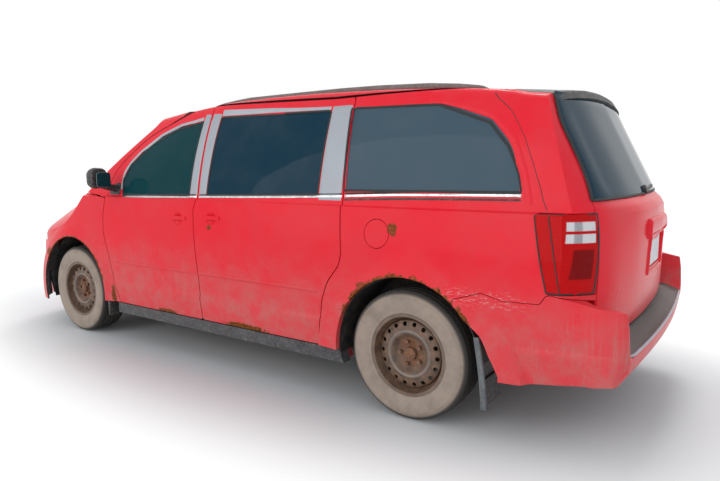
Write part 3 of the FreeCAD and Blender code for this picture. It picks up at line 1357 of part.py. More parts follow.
RACK_Y = size("rack_y")
RACK_TOP = size("rack_height")
rack_side = (
    (REAR - 250, ROOF - 10, 20),
    (REAR + 200, RACK_TOP - 44, 300),
    (REAR + 1400, RACK_TOP - 26, 900),
    (FRONT - 1560, RACK_TOP - 46, 20),
    (FRONT - 1500, RACK_TOP - 46, 10),
    (FRONT - 1560, RACK_TOP - 12, 60),
    (REAR + 1400, RACK_TOP, 2500),
    (REAR + 260, RACK_TOP - 18, 900),
    (REAR - 244, ROOF + 4, 20),
)
rack_rail = prism_y(rack_side, RACK_Y - 16, RACK_Y + 16)
for foot_x in (REAR - 200, REAR + 600, FRONT - 1560):
    rack_rail = rack_rail.fuse(box(foot_x - 60, foot_x + 40, RACK_Y - 14, RACK_Y + 14, ROOF - 90, RACK_TOP - 26))
rack_rail = rack_rail.cut(hull(-SEAL))
bars = []
for bar_x in (FRONT - 1670, REAR + 400):
    bar = side_cylinder(bar_x, RACK_TOP - 26, 11, 15 - RACK_Y, RACK_Y - 15)
    bars.append(bar)
feature("roof_rack", main_solid(main_solid(rack_rail).fuse(bars).fuse(right(main_solid(rack_rail)))))

# Dashboard and steering wheel

DASH_TOP = BELT - 60
dash = prism_y((
    (FIREWALL_X - 300, BELT - 330, 40),
    (FIREWALL_X - 120, BELT - 440, 60),
    (FIREWALL_X + 19.7, BELT - 440, 0),
    (FIREWALL_X + 19.7, DASH_TOP - 20, 0),
    (FIREWALL_X - 60, DASH_TOP, 60),
    (FIREWALL_X - 230, DASH_TOP - 10, 60),
    (FIREWALL_X - 330, DASH_TOP - 120, 60),
), -735, 735)
WHEEL_TILT = 64
STEER_X = FRONT - 800
STEER_Z = BELT - 150
STEER_Y = size("seat_y")
COLUMN = Vector(math.sin(math.radians(WHEEL_TILT)), 0, -math.cos(math.radians(WHEEL_TILT)))
STEER_HUB = Vector(STEER_X, STEER_Y, STEER_Z)
column = Part.makeCylinder(34, 260, STEER_HUB + COLUMN * (26 + SEAL), COLUMN)
feature("dashboard", main_solid(dash.fuse(column)))
ring_turn = Rotation(Vector(0, 0, 1), COLUMN)
rim = doc.addObject("Part::Torus", "steering_rim")
rim.setExpression("Radius1", "sizes.steering_radius")
rim.setExpression("Radius2", "sizes.steering_grip")
rim.Placement = Placement(STEER_HUB, ring_turn)
boss = doc.addObject("Part::Cylinder", "steering_boss")
boss.Radius = 60
boss.Height = 46
boss.Placement = Placement(STEER_HUB - COLUMN * 20, ring_turn)
spokes = []
for degrees in (0, 180, 270):
    spoke = doc.addObject("Part::Box", "spoke_%d" % degrees)
    spoke.setExpression("Length", "sizes.steering_radius")
    spoke.Width = 36
    spoke.Height = 14
    along = Placement(Vector(0, 0, 0), Rotation(Vector(0, 0, 1), degrees + 90))
    offset = Placement(Vector(0, -18, -7), Rotation())
    spoke.Placement = Placement(STEER_HUB, ring_turn).multiply(along).multiply(offset)
    spokes.append(spoke)
steering = doc.addObject("Part::MultiFuse", "steering")
steering.Shapes = [rim, boss] + spokes
keep("steering_wheel", steering)

# Seats: cushion, back and head restraint in one padded solid

def chair(x, y, floor_z, width, head):
    """A seat on its base from the floor up."""
    base_z = floor_z + SEAL
    cushion = prism_y((
        (x - 250, base_z + 150, 60),
        (x + 250, base_z + 170, 60),
        (x + 260, base_z + 300, 50),
        (x - 200, base_z + 260, 60),
    ), y - width / 2, y + width / 2)
    back = prism_y((
        (x - 230, base_z + 170, 50),
        (x - 130, base_z + 240, 60),
        (x - 270, base_z + 830, 50),
        (x - 370, base_z + 820, 50),
    ), y - width / 2, y + width / 2)
    base = box(x - 180, x + 200, y - width / 2 + 50, y + width / 2 - 50, base_z, base_z + 190)
    seat = base.fuse(cushion).fuse(back)
    for head_y in head:
        rest = prism_y((
            (x - 366, base_z + 850, 40),
            (x - 282, base_z + 850, 40),
            (x - 292, base_z + 1010, 40),
            (x - 372, base_z + 1000, 40),
        ), head_y - 125, head_y + 125)
        posts = box(x - 332, x - 318, head_y - 60, head_y + 60, base_z + 800, base_z + 880)
        seat = seat.fuse(rest).fuse(posts)
    return main_solid(seat)


SEAT_Y = size("seat_y")
SEAT_W = size("seat_width")
for label, seat_x in (("front_seats", size("driver_x")), ("middle_seats", size("second_row_x"))):
    twins(label, chair(seat_x, SEAT_Y, FLOOR_Z, SEAT_W, (SEAT_Y,)))
bench = chair(size("third_row_x"), 0, REAR_FLOOR_Z, 2 * TUB_IN - 60, (-360, 360))
feature("rear_seat", bench)

# Check and export

doc.recompute()
for thing in doc.Objects:
    if "Invalid" in thing.State or "Error" in thing.State:
        raise RuntimeError("%s did not compute" % thing.Name)
os.makedirs("parts", exist_ok=True)
for thing in PIECES:
    if thing.Shape.isNull() or not thing.Shape.isValid():
        raise RuntimeError("%s has no valid shape" % thing.Label)
for thing in PIECES:
    thing.Shape.exportStep("parts/%s.step" % thing.Label)
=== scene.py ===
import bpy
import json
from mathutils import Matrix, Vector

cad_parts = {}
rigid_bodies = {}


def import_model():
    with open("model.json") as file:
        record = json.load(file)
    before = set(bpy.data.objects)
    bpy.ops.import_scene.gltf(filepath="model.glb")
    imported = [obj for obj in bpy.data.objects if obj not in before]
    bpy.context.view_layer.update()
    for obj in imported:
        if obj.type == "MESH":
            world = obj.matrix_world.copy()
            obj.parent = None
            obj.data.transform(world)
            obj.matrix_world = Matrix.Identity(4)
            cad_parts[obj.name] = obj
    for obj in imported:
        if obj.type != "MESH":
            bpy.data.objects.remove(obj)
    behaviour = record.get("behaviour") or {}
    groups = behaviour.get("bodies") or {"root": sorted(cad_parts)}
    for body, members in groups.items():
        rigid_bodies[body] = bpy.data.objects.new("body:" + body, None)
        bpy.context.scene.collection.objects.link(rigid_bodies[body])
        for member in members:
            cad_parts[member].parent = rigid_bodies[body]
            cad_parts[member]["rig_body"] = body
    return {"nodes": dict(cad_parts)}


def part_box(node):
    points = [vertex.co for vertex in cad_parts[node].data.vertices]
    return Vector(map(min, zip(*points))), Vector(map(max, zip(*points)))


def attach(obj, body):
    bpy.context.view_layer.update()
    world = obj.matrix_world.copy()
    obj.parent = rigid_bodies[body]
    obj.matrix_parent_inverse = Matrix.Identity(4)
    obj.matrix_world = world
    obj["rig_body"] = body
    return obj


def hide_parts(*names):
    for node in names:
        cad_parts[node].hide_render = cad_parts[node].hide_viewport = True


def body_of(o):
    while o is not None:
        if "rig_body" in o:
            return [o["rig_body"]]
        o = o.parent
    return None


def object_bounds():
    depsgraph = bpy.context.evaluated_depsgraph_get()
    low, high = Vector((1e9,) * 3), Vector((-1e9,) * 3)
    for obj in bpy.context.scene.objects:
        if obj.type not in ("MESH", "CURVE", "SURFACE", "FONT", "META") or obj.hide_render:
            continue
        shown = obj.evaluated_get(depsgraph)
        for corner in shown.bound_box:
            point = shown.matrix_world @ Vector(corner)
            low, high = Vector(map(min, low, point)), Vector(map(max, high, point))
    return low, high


bl_info = {
    "name": "Weathered minivan",
    "version": (1, 0, 0),
    "blender": (4, 5, 0),
    "location": "3D View > Sidebar > Minivan",
    "description": "Dresses the minivan's frame with its paint, trim, glass, tyres and seats",
    "category": "Object",
}

import copy
import json
import math

import bmesh
import bpy
import numpy as np
from bpy.props import FloatProperty, FloatVectorProperty, PointerProperty
from mathutils import Matrix, Vector
from mathutils.bvhtree import BVHTree

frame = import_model()
CAD_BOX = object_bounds()
NODES = frame["nodes"]
BODY_OF = {name: body_of(thing) for name, thing in NODES.items()}
SIDES = (("left", 1), ("right", -1))


def middle(node):
    """The middle of a node's box, in metres."""
    low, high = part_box(node)
    return (low + high) / 2


FRONT_AXLE = middle("tyre_front_left")
REAR_AXLE = middle("tyre_rear_left")
TYRE_RADIUS = FRONT_AXLE.z
CORNERS = ("front_left", "front_right", "rear_left", "rear_right")


# Shader maths

class Wire:
    """A shader socket that takes part in Python sums."""

    def __init__(self, recipe, socket):
        self.recipe = recipe
        self.socket = socket

    def maths(self, operation, *values):
        return self.recipe.node("ShaderNodeMath", {"operation": operation}, values)

    def __add__(self, other):
        return self.maths("ADD", self, other)

    def __sub__(self, other):
        return self.maths("SUBTRACT", self, other)

    def __rsub__(self, other):
        return self.maths("SUBTRACT", other, self)

    def __mul__(self, other):
        return self.maths("MULTIPLY", self, other)

    def __truediv__(self, other):
        return self.maths("DIVIDE", self, other)

    def __pow__(self, other):
        return self.maths("POWER", self, other)

    def __abs__(self):
        return self.maths("ABSOLUTE", self)

    __radd__ = __add__
    __rmul__ = __mul__

    def most(self, other):
        return self.maths("MAXIMUM", self, other)

    def least(self, other):
        return self.maths("MINIMUM", self, other)

    def sine(self):
        return self.maths("SINE", self)

    def rise(self, low, high):
        """0 below the low value, 1 above the high one, smooth between; falls where low is above high."""
        values = (self, low, high, 0.0, 1.0)
        return self.recipe.node("ShaderNodeMapRange", {"interpolation_type": "SMOOTHSTEP"}, values)


class Recipe:
    """One material or world and its nodes, which read the piece's own coordinates."""

    def __init__(self, material):
        self.material = material
        material.use_nodes = True
        self.tree = material.node_tree
        self.tree.nodes.clear()
        self.place = self.node("ShaderNodeTexCoord", output="Object")
        parts = self.node("ShaderNodeSeparateXYZ", values=(self.place,)).socket.node.outputs
        self.x, self.y, self.z = (Wire(self, part) for part in parts)

    def node(self, kind, settings=None, values=(), output=0):
        """A node of a type with its settings, then the values or links of its sockets."""
        made = self.tree.nodes.new(kind)
        for key, value in (settings or {}).items():
            setattr(made, key, value)
        pairs = values.items() if isinstance(values, dict) else enumerate(values)
        for key, value in pairs:
            if isinstance(value, Wire):
                self.tree.links.new(value.socket, made.inputs[key])
            else:
                made.inputs[key].default_value = value
        return Wire(self, made.outputs[output])

    def stretched(self, x, y, z):
        """The piece's coordinates multiplied along each axis."""
        return self.node("ShaderNodeVectorMath", {"operation": "MULTIPLY"}, (self.place, (x, y, z)))

    def noise(self, scale, detail=4.0, rough=0.55, at=None):
        """Cloudy noise from 0 to 1."""
        values = {"Vector": at or self.place, "Scale": scale, "Detail": detail, "Roughness": rough}
        return self.node("ShaderNodeTexNoise", None, values)

    def cells(self, scale, at=None):
        """Distance to the nearest of scattered points."""
        return self.node("ShaderNodeTexVoronoi", None, {"Vector": at or self.place, "Scale": scale})

    def mix(self, share, first, second):
        """The second colour over the first by a share."""
        values = {0: share, 6: solid(first), 7: solid(second)}
        return self.node("ShaderNodeMix", {"data_type": "RGBA"}, values, 2)

    def bump(self, height, distance, strength=1.0):
        """A normal from a height."""
        values = {"Height": height, "Distance": distance, "Strength": strength}
        return self.node("ShaderNodeBump", None, values)

    def finish(self, **sockets):
        """Close the recipe with one surface shader; its sockets are named with low lines."""
        values = {key.replace("_", " "): solid(value) if key == "Base_Color" else value
                  for key, value in sockets.items()}
        shader = self.node("ShaderNodeBsdfPrincipled", None, values)
        out = self.tree.nodes.new("ShaderNodeOutputMaterial")
        self.tree.links.new(shader.socket, out.inputs["Surface"])
        return self.material


def solid(colour):
    """A colour with its alpha, or a link as it is."""
    if isinstance(colour, Wire) or len(colour) == 4:
        return colour
    return (*colour, 1.0)


MATERIALS = {}


def finish_of(function):
    """The material that a function makes, made once."""
    if function.__name__ not in MATERIALS:
        MATERIALS[function.__name__] = function(Recipe(bpy.data.materials.new(function.__name__)))
    return MATERIALS[function.__name__]


# Finishes

RUST_DARK = (0.075, 0.026, 0.010)
RUST_BRIGHT = (0.34, 0.105, 0.022)
DUST = (0.42, 0.33, 0.27)

# Rust on the sides: x, z, reach along x, reach along z, strength
RUST_SPOTS = (
    (-0.300, 0.328, 0.190, 0.022, 1.0),
    (0.460, 0.326, 0.110, 0.016, 0.9),
    (1.085, 0.380, 0.022, 0.080, 0.8),
    (1.960, 0.640, 0.050, 0.040, 0.7),
    (-1.400, 1.010, 0.030, 0.032, 0.9),
    (-0.020, 0.945, 0.022, 0.015, 0.8),
    (-1.240, 0.700, 0.060, 0.020, 0.6),
)


def rust_colour(recipe):
    """Mottled rust, from dark crust to bright orange powder."""
    share = recipe.noise(70.0, 6.0, 0.7).rise(0.35, 0.68)
    return recipe.mix(share, RUST_DARK, RUST_BRIGHT)


def near_arch(recipe, axle_x, radius):
    """Distance outward from a wheel arch's edge, in metres."""
    across = recipe.x - axle_x
    up = recipe.z - TYRE_RADIUS
    return (across * across + up * up) ** 0.5 - radius


def rust_spots(recipe):
    """Share of rust at the listed spots and round the arch edges, ragged by noise."""
    ragged = recipe.noise(26.0, 6.0, 0.72)
    fine = recipe.noise(120.0, 4.0, 0.6)
    total = near_arch(recipe, REAR_AXLE.x, 0.424) + (0.5 - ragged) * 0.11
    total = total.rise(0.012, 0.002) * recipe.z.rise(0.46, 0.62)
    front = near_arch(recipe, FRONT_AXLE.x, 0.436) + (0.5 - ragged) * 0.05
    total = total.most(front.rise(0.010, 0.002) * recipe.z.rise(0.40, 0.55) * 0.8)
    for x, z, reach_x, reach_z, strength in RUST_SPOTS:
        across = (recipe.x - x) / reach_x
        up = (recipe.z - z) / reach_z
        away = (across * across + up * up) ** 0.5 + (ragged - 0.5) * 2.2
        total = total.most(away.rise(1.05, 0.75) * strength)
    return total * fine.rise(0.25, 0.42)


def red_paint(recipe):
    """Red gloss paint, faded and dusty low down, with chalky scuffs and rust at its edges."""
    settings = bpy.context.scene.minivan_paint
    cloud = recipe.noise(2.6, 5.0, 0.6)
    base = recipe.mix(cloud.rise(0.30, 0.75), settings.paint_colour, settings.faded_colour)
    film = recipe.noise(9.0, 8.0, 0.68)
    low = recipe.z.rise(0.92, 0.42)
    dirt = (low * 0.80 + 0.05) * (film.rise(0.30, 0.72) * 0.50 + 0.24)
    base = recipe.mix(dirt * 0.95, base, (0.50, 0.22, 0.20))
    specks = recipe.cells(260.0).rise(0.16, 0.05) * recipe.noise(30.0).rise(0.52, 0.66)
    base = recipe.mix(specks * 0.35, base, DUST)
    streaks = recipe.noise(1.0, 6.0, 0.7, recipe.stretched(34.0, 34.0, 2.2)).rise(0.50, 0.72)
    tail = recipe.x.rise(-1.98, -2.20) * recipe.z.rise(0.76, 0.50)
    base = recipe.mix(streaks * tail * 0.55, base, (0.50, 0.22, 0.20))
    scuffs = recipe.noise(1.0, 8.0, 0.75, recipe.stretched(26.0, 26.0, 150.0)).rise(0.55, 0.61)
    seam = abs(recipe.z - 0.712).rise(0.060, 0.010)
    seam = seam * recipe.x.rise(-1.60, -1.80) * recipe.x.rise(-2.16, -2.00)
    base = recipe.mix(scuffs * seam * 0.8, base, (0.70, 0.55, 0.52))
    rust = rust_spots(recipe)
    halo = rust.rise(0.0, 0.4)
    base = recipe.mix(halo * 0.6, base, (0.30, 0.07, 0.035))
    base = recipe.mix(rust, base, rust_colour(recipe))
    orange_peel = recipe.noise(420.0, 2.0, 0.5)
    height = orange_peel * 0.02 + rust * recipe.noise(160.0, 5.0, 0.7)
    return recipe.finish(
        Base_Color=base,
        Roughness=(dirt * 0.30 + rust * 0.40 + 0.24).least(0.9),
        Coat_Weight=(1.0 - rust).least(1.0 - dirt * 0.8) * 0.10,
        Coat_Roughness=0.08,
        Specular_IOR_Level=0.06,
        Normal=recipe.bump(height, 0.0012, 0.6),
    )


def inner_paint(recipe):
    """Body colour inside the door openings: a darker red than outside, with dusty patches."""
    cloud = recipe.noise(5.0, 6.0, 0.65).rise(0.35, 0.70)
    base = recipe.mix(cloud * 0.5, (0.52, 0.014, 0.024), (0.40, 0.12, 0.10))
    return recipe.finish(Base_Color=base, Roughness=cloud * 0.25 + 0.40, Coat_Weight=0.2,
                         Normal=recipe.bump(recipe.noise(200.0), 0.0005, 0.4))


def grained_plastic(recipe, colour, worn, scale=900.0):
    """Moulded plastic with a leather grain, faded in patches."""
    grain = recipe.cells(scale)
    patchy = recipe.noise(12.0, 6.0, 0.65).rise(0.30, 0.75)
    dusty = recipe.noise(60.0, 5.0, 0.6).rise(0.45, 0.75) * 0.35
    base = recipe.mix(patchy, colour, worn)
    base = recipe.mix(dusty, base, DUST)
    return recipe.finish(Base_Color=base, Roughness=patchy * 0.22 + 0.48,
                         Normal=recipe.bump(grain, 0.0006, 0.5))


def black_trim(recipe):
    """Black grained plastic, weathered to charcoal."""
    return grained_plastic(recipe, (0.016, 0.016, 0.018), (0.050, 0.050, 0.052))


def grey_cladding(recipe):
    """Dark grey plastic of the sills, dusty."""
    return grained_plastic(recipe, (0.040, 0.042, 0.046), (0.105, 0.105, 0.108), 700.0)


def flap_rubber(recipe):
    """Mud flap rubber, dark grey with dried splashes."""
    return grained_plastic(recipe, (0.022, 0.023, 0.025), (0.085, 0.082, 0.078), 500.0)


def flap_edge(recipe):
    """The flap's outer edge, rubbed to blue-grey."""
    return grained_plastic(recipe, (0.085, 0.100, 0.106), (0.165, 0.185, 0.195), 500.0)


def rail_grey(recipe):
    """Taupe-grey plastic of the roof rails, chalky from the sun."""
    return grained_plastic(recipe, (0.130, 0.116, 0.106), (0.210, 0.190, 0.175), 800.0)


def seal_rubber(recipe):
    """Soft black rubber of the window seals."""
    patchy = recipe.noise(30.0, 5.0, 0.6)
    base = recipe.mix(patchy, (0.008, 0.008, 0.009), (0.030, 0.030, 0.030))
    return recipe.finish(Base_Color=base, Roughness=patchy * 0.2 + 0.55,
                         Normal=recipe.bump(recipe.noise(700.0), 0.0003, 0.4))


def dash_plastic(recipe):
    """Slate dashboard plastic with a fine grain."""
    return grained_plastic(recipe, (0.090, 0.092, 0.098), (0.125, 0.125, 0.130), 1200.0)


def silver_applique(recipe):
    """Brushed silver film on the window posts, lightly scratched."""
    brushed = recipe.noise(1.0, 6.0, 0.7, recipe.stretched(900.0, 900.0, 14.0))
    haze = recipe.noise(7.0, 5.0, 0.6).rise(0.3, 0.8)
    base = recipe.mix(brushed, (0.30, 0.32, 0.35), (0.44, 0.46, 0.49))
    base = recipe.mix(haze * 0.25, base, (0.30, 0.30, 0.32))
    return recipe.finish(Base_Color=base, Roughness=brushed * 0.15 + 0.38, Metallic=0.20,
                         Normal=recipe.bump(brushed, 0.0002, 0.5))


def grey_strip(recipe):
    """Pale grey film over the windows."""
    haze = recipe.noise(14.0, 5.0, 0.6)
    base = recipe.mix(haze, (0.33, 0.35, 0.38), (0.48, 0.50, 0.53))
    return recipe.finish(Base_Color=base, Roughness=haze * 0.15 + 0.36, Metallic=0.2,
                         Normal=recipe.bump(recipe.noise(300.0), 0.0002, 0.3))


def bright_trim(recipe):
    """Polished strip at the foot of the windows, dulled in places."""
    dull = recipe.noise(40.0, 6.0, 0.7).rise(0.35, 0.75)
    base = recipe.mix(dull, (0.72, 0.73, 0.75), (0.34, 0.34, 0.35))
    return recipe.finish(Base_Color=base, Metallic=1.0, Roughness=dull * 0.3 + 0.12,
                         Normal=recipe.bump(recipe.noise(600.0), 0.0001, 0.3))


def glazing(recipe, colour, clear, rim):
    """Tinted glass: dark through its body, with a mirror gloss that grows at low angles."""
    film = recipe.noise(6.0, 6.0, 0.6).rise(0.35, 0.8)
    base = recipe.mix(film * 0.04, colour, (0.30, 0.30, 0.28))
    gloss = recipe.node("ShaderNodeFresnel", None, {"IOR": 1.5})
    cover = (gloss * (1.0 - clear) + clear).least(1.0)
    return recipe.finish(Base_Color=base, Alpha=cover, Roughness=film * 0.03 + 0.015,
                         Specular_IOR_Level=rim)


def clear_glass(recipe):
    """Pale green windscreen and front door glass."""
    return glazing(recipe, (0.006, 0.070, 0.080), 0.58, 0.08)


def privacy_glass(recipe):
    """Dark blue-green glass behind the front doors, a paler blue-grey in the quarter windows."""
    quarter = recipe.x.rise(-0.95, -1.10) * recipe.x.rise(-2.15, -2.05)
    colour = recipe.mix(quarter, (0.004, 0.036, 0.062), (0.066, 0.108, 0.138))
    return glazing(recipe, colour, 0.95, 0.08)


def mirror_glass(recipe):
    """Silvered mirror with a blue-green cast and dust at its rim."""
    dust = recipe.noise(50.0, 6.0, 0.7).rise(0.5, 0.8)
    base = recipe.mix(dust * 0.4, (0.30, 0.38, 0.40), DUST)
    return recipe.finish(Base_Color=base, Metallic=1.0, Roughness=dust * 0.3 + 0.03,
                         Normal=recipe.bump(dust, 0.0001, 0.2))


def lamp_red(recipe):
    """Tail lamp: ribbed red lens, with two clear bars across its upper half, darkened by a painted shadow of
    the bulb.
    """
    up = recipe.z
    bar = abs(up - 1.066).rise(0.022, 0.017).most(abs(up - 1.014).rise(0.022, 0.017))
    inboard = abs(recipe.y) - 0.779 - (1.12 - up) * 0.16
    back = inboard.rise(0.016, 0.022) * inboard.rise(0.128, 0.123) * recipe.x.rise(-2.238, -2.244)
    lens = inboard.rise(0.020, 0.028) * inboard.rise(0.104, 0.096)
    lens = lens * up.rise(0.832, 0.842) * up.rise(0.972, 0.960)
    # Painted shadow of the bulb: a dark grey band down the clear bars.
    bulb_shadow = abs(inboard - 0.088).rise(0.018, 0.010)
    ribs = (recipe.z * 900.0).sine() * 0.5 + 0.5
    flutes = (recipe.x * 700.0 + recipe.y * 700.0).sine() * 0.5 + 0.5
    base = recipe.mix(ribs * 0.5, (0.64, 0.003, 0.005), (0.40, 0.001, 0.002))
    base = recipe.mix(lens * 0.75, base, (0.110, 0.001, 0.002))
    clear = recipe.mix(flutes, (0.62, 0.60, 0.60), (0.86, 0.84, 0.84))
    base = recipe.mix(bar * back, base, recipe.mix(bulb_shadow * 0.6, clear, (0.16, 0.16, 0.18)))
    rim = recipe.noise(30.0, 5.0, 0.6).rise(0.5, 0.8)
    base = recipe.mix(rim * 0.10, base, (0.40, 0.06, 0.05))
    return recipe.finish(Base_Color=base, Roughness=rim * 0.2 + 0.14, Coat_Weight=0.08,
                         Coat_Roughness=0.03, Specular_IOR_Level=0.05,
                         Normal=recipe.bump(ribs + flutes, 0.0012, 0.5))


def lamp_clear(recipe):
    """Headlamp lens: milky clear plastic over fluted bright bowls."""
    flutes = (recipe.y * 260.0).sine() * 0.5 + 0.5
    haze = recipe.noise(12.0, 6.0, 0.65).rise(0.3, 0.8)
    base = recipe.mix(flutes, (0.50, 0.52, 0.54), (0.78, 0.79, 0.80))
    base = recipe.mix(haze * 0.5, base, (0.62, 0.58, 0.46))
    return recipe.finish(Base_Color=base, Roughness=haze * 0.2 + 0.08, Metallic=0.25,
                         Coat_Weight=1.0, Coat_Roughness=0.04,
                         Normal=recipe.bump(flutes, 0.0015, 0.5))


def wheel_radius(recipe):
    """Distance from the nearer axle, in metres, the same on every wheel."""
    ahead = abs(recipe.x - FRONT_AXLE.x).least(abs(recipe.x - REAR_AXLE.x))
    up = recipe.z - TYRE_RADIUS
    return (ahead * ahead + up * up) ** 0.5


def tyre_rubber(recipe):
    """Tyre: black tread, and a sidewall with brown road dust in rings and splashes."""
    radius = wheel_radius(recipe)
    cloud = recipe.noise(18.0, 7.0, 0.68)
    base = recipe.mix(cloud, (0.030, 0.027, 0.024), (0.070, 0.062, 0.054))
    wall = radius.rise(0.335, 0.315)
    dust = wall * (recipe.noise(7.0, 6.0, 0.7).rise(0.22, 0.62) * 0.32 + 0.56)
    base = recipe.mix(dust, base, (0.460, 0.360, 0.285))
    rings = (radius * 900.0).sine() * 0.5 + 0.5
    base = recipe.mix(rings * wall * 0.14, base, (0.09, 0.075, 0.062))
    rough = recipe.noise(380.0, 5.0, 0.7)
    return recipe.finish(Base_Color=base, Roughness=cloud * 0.15 + 0.74,
                         Normal=recipe.bump(rough + rings * wall * 0.4, 0.0006, 0.6))


def rusty_steel(recipe):
    """Pressed steel wheel: worn black paint over brown rust, a grey rubbed ridge and a rusty hub."""
    radius = wheel_radius(recipe)
    cloud = recipe.noise(22.0, 7.0, 0.7)
    fine = recipe.noise(140.0, 6.0, 0.72)
    base = recipe.mix(cloud.rise(0.35, 0.68), (0.080, 0.052, 0.036), (0.205, 0.120, 0.074))
    ridge = abs(radius - 0.120).rise(0.012, 0.004)
    base = recipe.mix(ridge * (fine * 0.5 + 0.35), base, (0.30, 0.285, 0.27))
    outer = abs(radius - 0.214).rise(0.012, 0.003)
    base = recipe.mix(outer * 0.45, base, (0.20, 0.17, 0.145))
    hub = radius.rise(0.092, 0.070)
    rust = (hub * 0.85 + 0.20) * fine.rise(0.38, 0.62)
    base = recipe.mix(rust, base, rust_colour(recipe))
    dust = recipe.noise(5.0, 5.0, 0.6).rise(0.45, 0.75)
    base = recipe.mix(dust * 0.30, base, (0.22, 0.17, 0.13))
    return recipe.finish(Base_Color=base, Roughness=rust * 0.25 + 0.52, Metallic=ridge * 0.3,
                         Normal=recipe.bump(fine + cloud, 0.0012, 0.6))


def dark_steel(recipe):
    """Chassis steel: dull black primer with road dirt and brown rust."""
    cloud = recipe.noise(8.0, 7.0, 0.7)
    rust = recipe.noise(30.0, 7.0, 0.72).rise(0.52, 0.70)
    base = recipe.mix(cloud, (0.020, 0.019, 0.018), (0.060, 0.050, 0.042))
    base = recipe.mix(rust * 0.7, base, rust_colour(recipe))
    return recipe.finish(Base_Color=base, Roughness=cloud * 0.2 + 0.62,
                         Normal=recipe.bump(recipe.noise(220.0, 6.0, 0.7), 0.0012, 0.6))


def cast_metal(recipe):
    """Cast grey metal with a sand texture and oily stains."""
    oil = recipe.noise(9.0, 6.0, 0.65).rise(0.4, 0.7)
    base = recipe.mix(oil, (0.24, 0.24, 0.235), (0.075, 0.065, 0.055))
    return recipe.finish(Base_Color=base, Roughness=0.62 - oil * 0.2, Metallic=0.5,
                         Normal=recipe.bump(recipe.noise(400.0, 5.0, 0.7), 0.0008, 0.6))


def liner_plastic(recipe):
    """Wheel arch liner, black with dried mud thrown up from the tyre."""
    mud = recipe.noise(14.0, 7.0, 0.7).rise(0.42, 0.70)
    base = recipe.mix(mud * 0.7, (0.012, 0.012, 0.012), (0.090, 0.070, 0.054))
    return recipe.finish(Base_Color=base, Roughness=mud * 0.2 + 0.70,
                         Normal=recipe.bump(mud + recipe.noise(150.0), 0.0016, 0.7))


def seat_cloth(recipe):
    """Woven grey seat cloth with a paler fleck."""
    weave = (recipe.x * 2600.0).sine() * (recipe.y * 2600.0).sine() * (recipe.z * 2600.0).sine()
    fleck = recipe.noise(260.0, 3.0, 0.6).rise(0.55, 0.72)
    cloud = recipe.noise(5.0, 5.0, 0.6)
    base = recipe.mix(cloud, (0.115, 0.112, 0.110), (0.170, 0.165, 0.160))
    base = recipe.mix(fleck * 0.5, base, (0.30, 0.29, 0.28))
    return recipe.finish(Base_Color=base, Roughness=0.92 - fleck * 0.1, Sheen_Weight=0.35,
                         Normal=recipe.bump(weave + fleck, 0.0006, 0.6))


def inner_trim(recipe):
    """Grey moulded lining on the inner faces of doors, pillars and roof."""
    return grained_plastic(recipe, (0.160, 0.160, 0.162), (0.215, 0.212, 0.208), 1000.0)


def pad_plastic(recipe):
    """Grey-black step pad on the rear bumper, with fine cross ribs and dust between them."""
    ribs = (recipe.y * 520.0).sine() * 0.5 + 0.5
    patchy = recipe.noise(14.0, 6.0, 0.65)
    base = recipe.mix(patchy, (0.050, 0.051, 0.054), (0.115, 0.114, 0.113))
    base = recipe.mix((1.0 - ribs) * 0.35, base, DUST)
    return recipe.finish(Base_Color=base, Roughness=patchy * 0.2 + 0.55,
                         Normal=recipe.bump(ribs, 0.0016, 0.8))


def plate_enamel(recipe):
    """Blank pale plate with a faint border and road film."""
    film = recipe.noise(24.0, 6.0, 0.65).rise(0.35, 0.8)
    base = recipe.mix(film * 0.5, (0.66, 0.68, 0.70), (0.46, 0.44, 0.42))
    return recipe.finish(Base_Color=base, Roughness=film * 0.2 + 0.32,
                         Normal=recipe.bump(film, 0.0004, 0.4))


def seen_rays(recipe):
    """1 for rays from the camera, off gloss or through glass."""
    seen = recipe.node("ShaderNodeLightPath", output="Is Camera Ray")
    seen = seen.most(recipe.node("ShaderNodeLightPath", output="Is Glossy Ray"))
    return seen.most(recipe.node("ShaderNodeLightPath", output="Is Transmission Ray"))


def studio_floor(recipe):
    """Pale floor under the car that turns white further out where it is seen or mirrored."""
    cloud = recipe.noise(1.5, 3.0, 0.5)
    base = recipe.mix(cloud, (0.70, 0.70, 0.69), (0.74, 0.74, 0.73))
    seen = seen_rays(recipe)
    along = recipe.x / (CAD_BOX[1][0] - CAD_BOX[0][0])
    across = recipe.y / (CAD_BOX[1][1] - CAD_BOX[0][1])
    far = (along * along + across * across).rise(0.18, 0.75)
    share = seen * far
    return recipe.finish(Base_Color=recipe.mix(share, base, (0.0, 0.0, 0.0)),
                         Emission_Color=recipe.mix(share, (0.0, 0.0, 0.0), (1.0, 1.0, 1.0)),
                         Emission_Strength=1.0, Roughness=cloud * 0.1 + 0.75)


# Surfaces

def coordinates(mesh):
    """A mesh's points."""
    points = np.empty(len(mesh.vertices) * 3)
    mesh.vertices.foreach_get("co", points)
    return points.reshape(-1, 3)


def triangles(mesh):
    """The corners of a mesh's faces, which are all triangles."""
    corners = np.empty(len(mesh.loops), int)
    mesh.loops.foreach_get("vertex_index", corners)
    return corners.reshape(-1, 3)


def placed(name, data):
    """A new object in the scene."""
    thing = bpy.data.objects.new(name, data)
    bpy.context.scene.collection.objects.link(thing)
    return thing


def volume(points, faces):
    """Signed volume inside closed faces, from the fan of each face."""
    total = 0.0
    for size in {len(face) for face in faces}:
        corners = points[np.array([face for face in faces if len(face) == size])]
        for step in range(1, size - 1):
            cross = np.cross(corners[:, step], corners[:, step + 1])
            total += (corners[:, 0] * cross).sum()
    return total


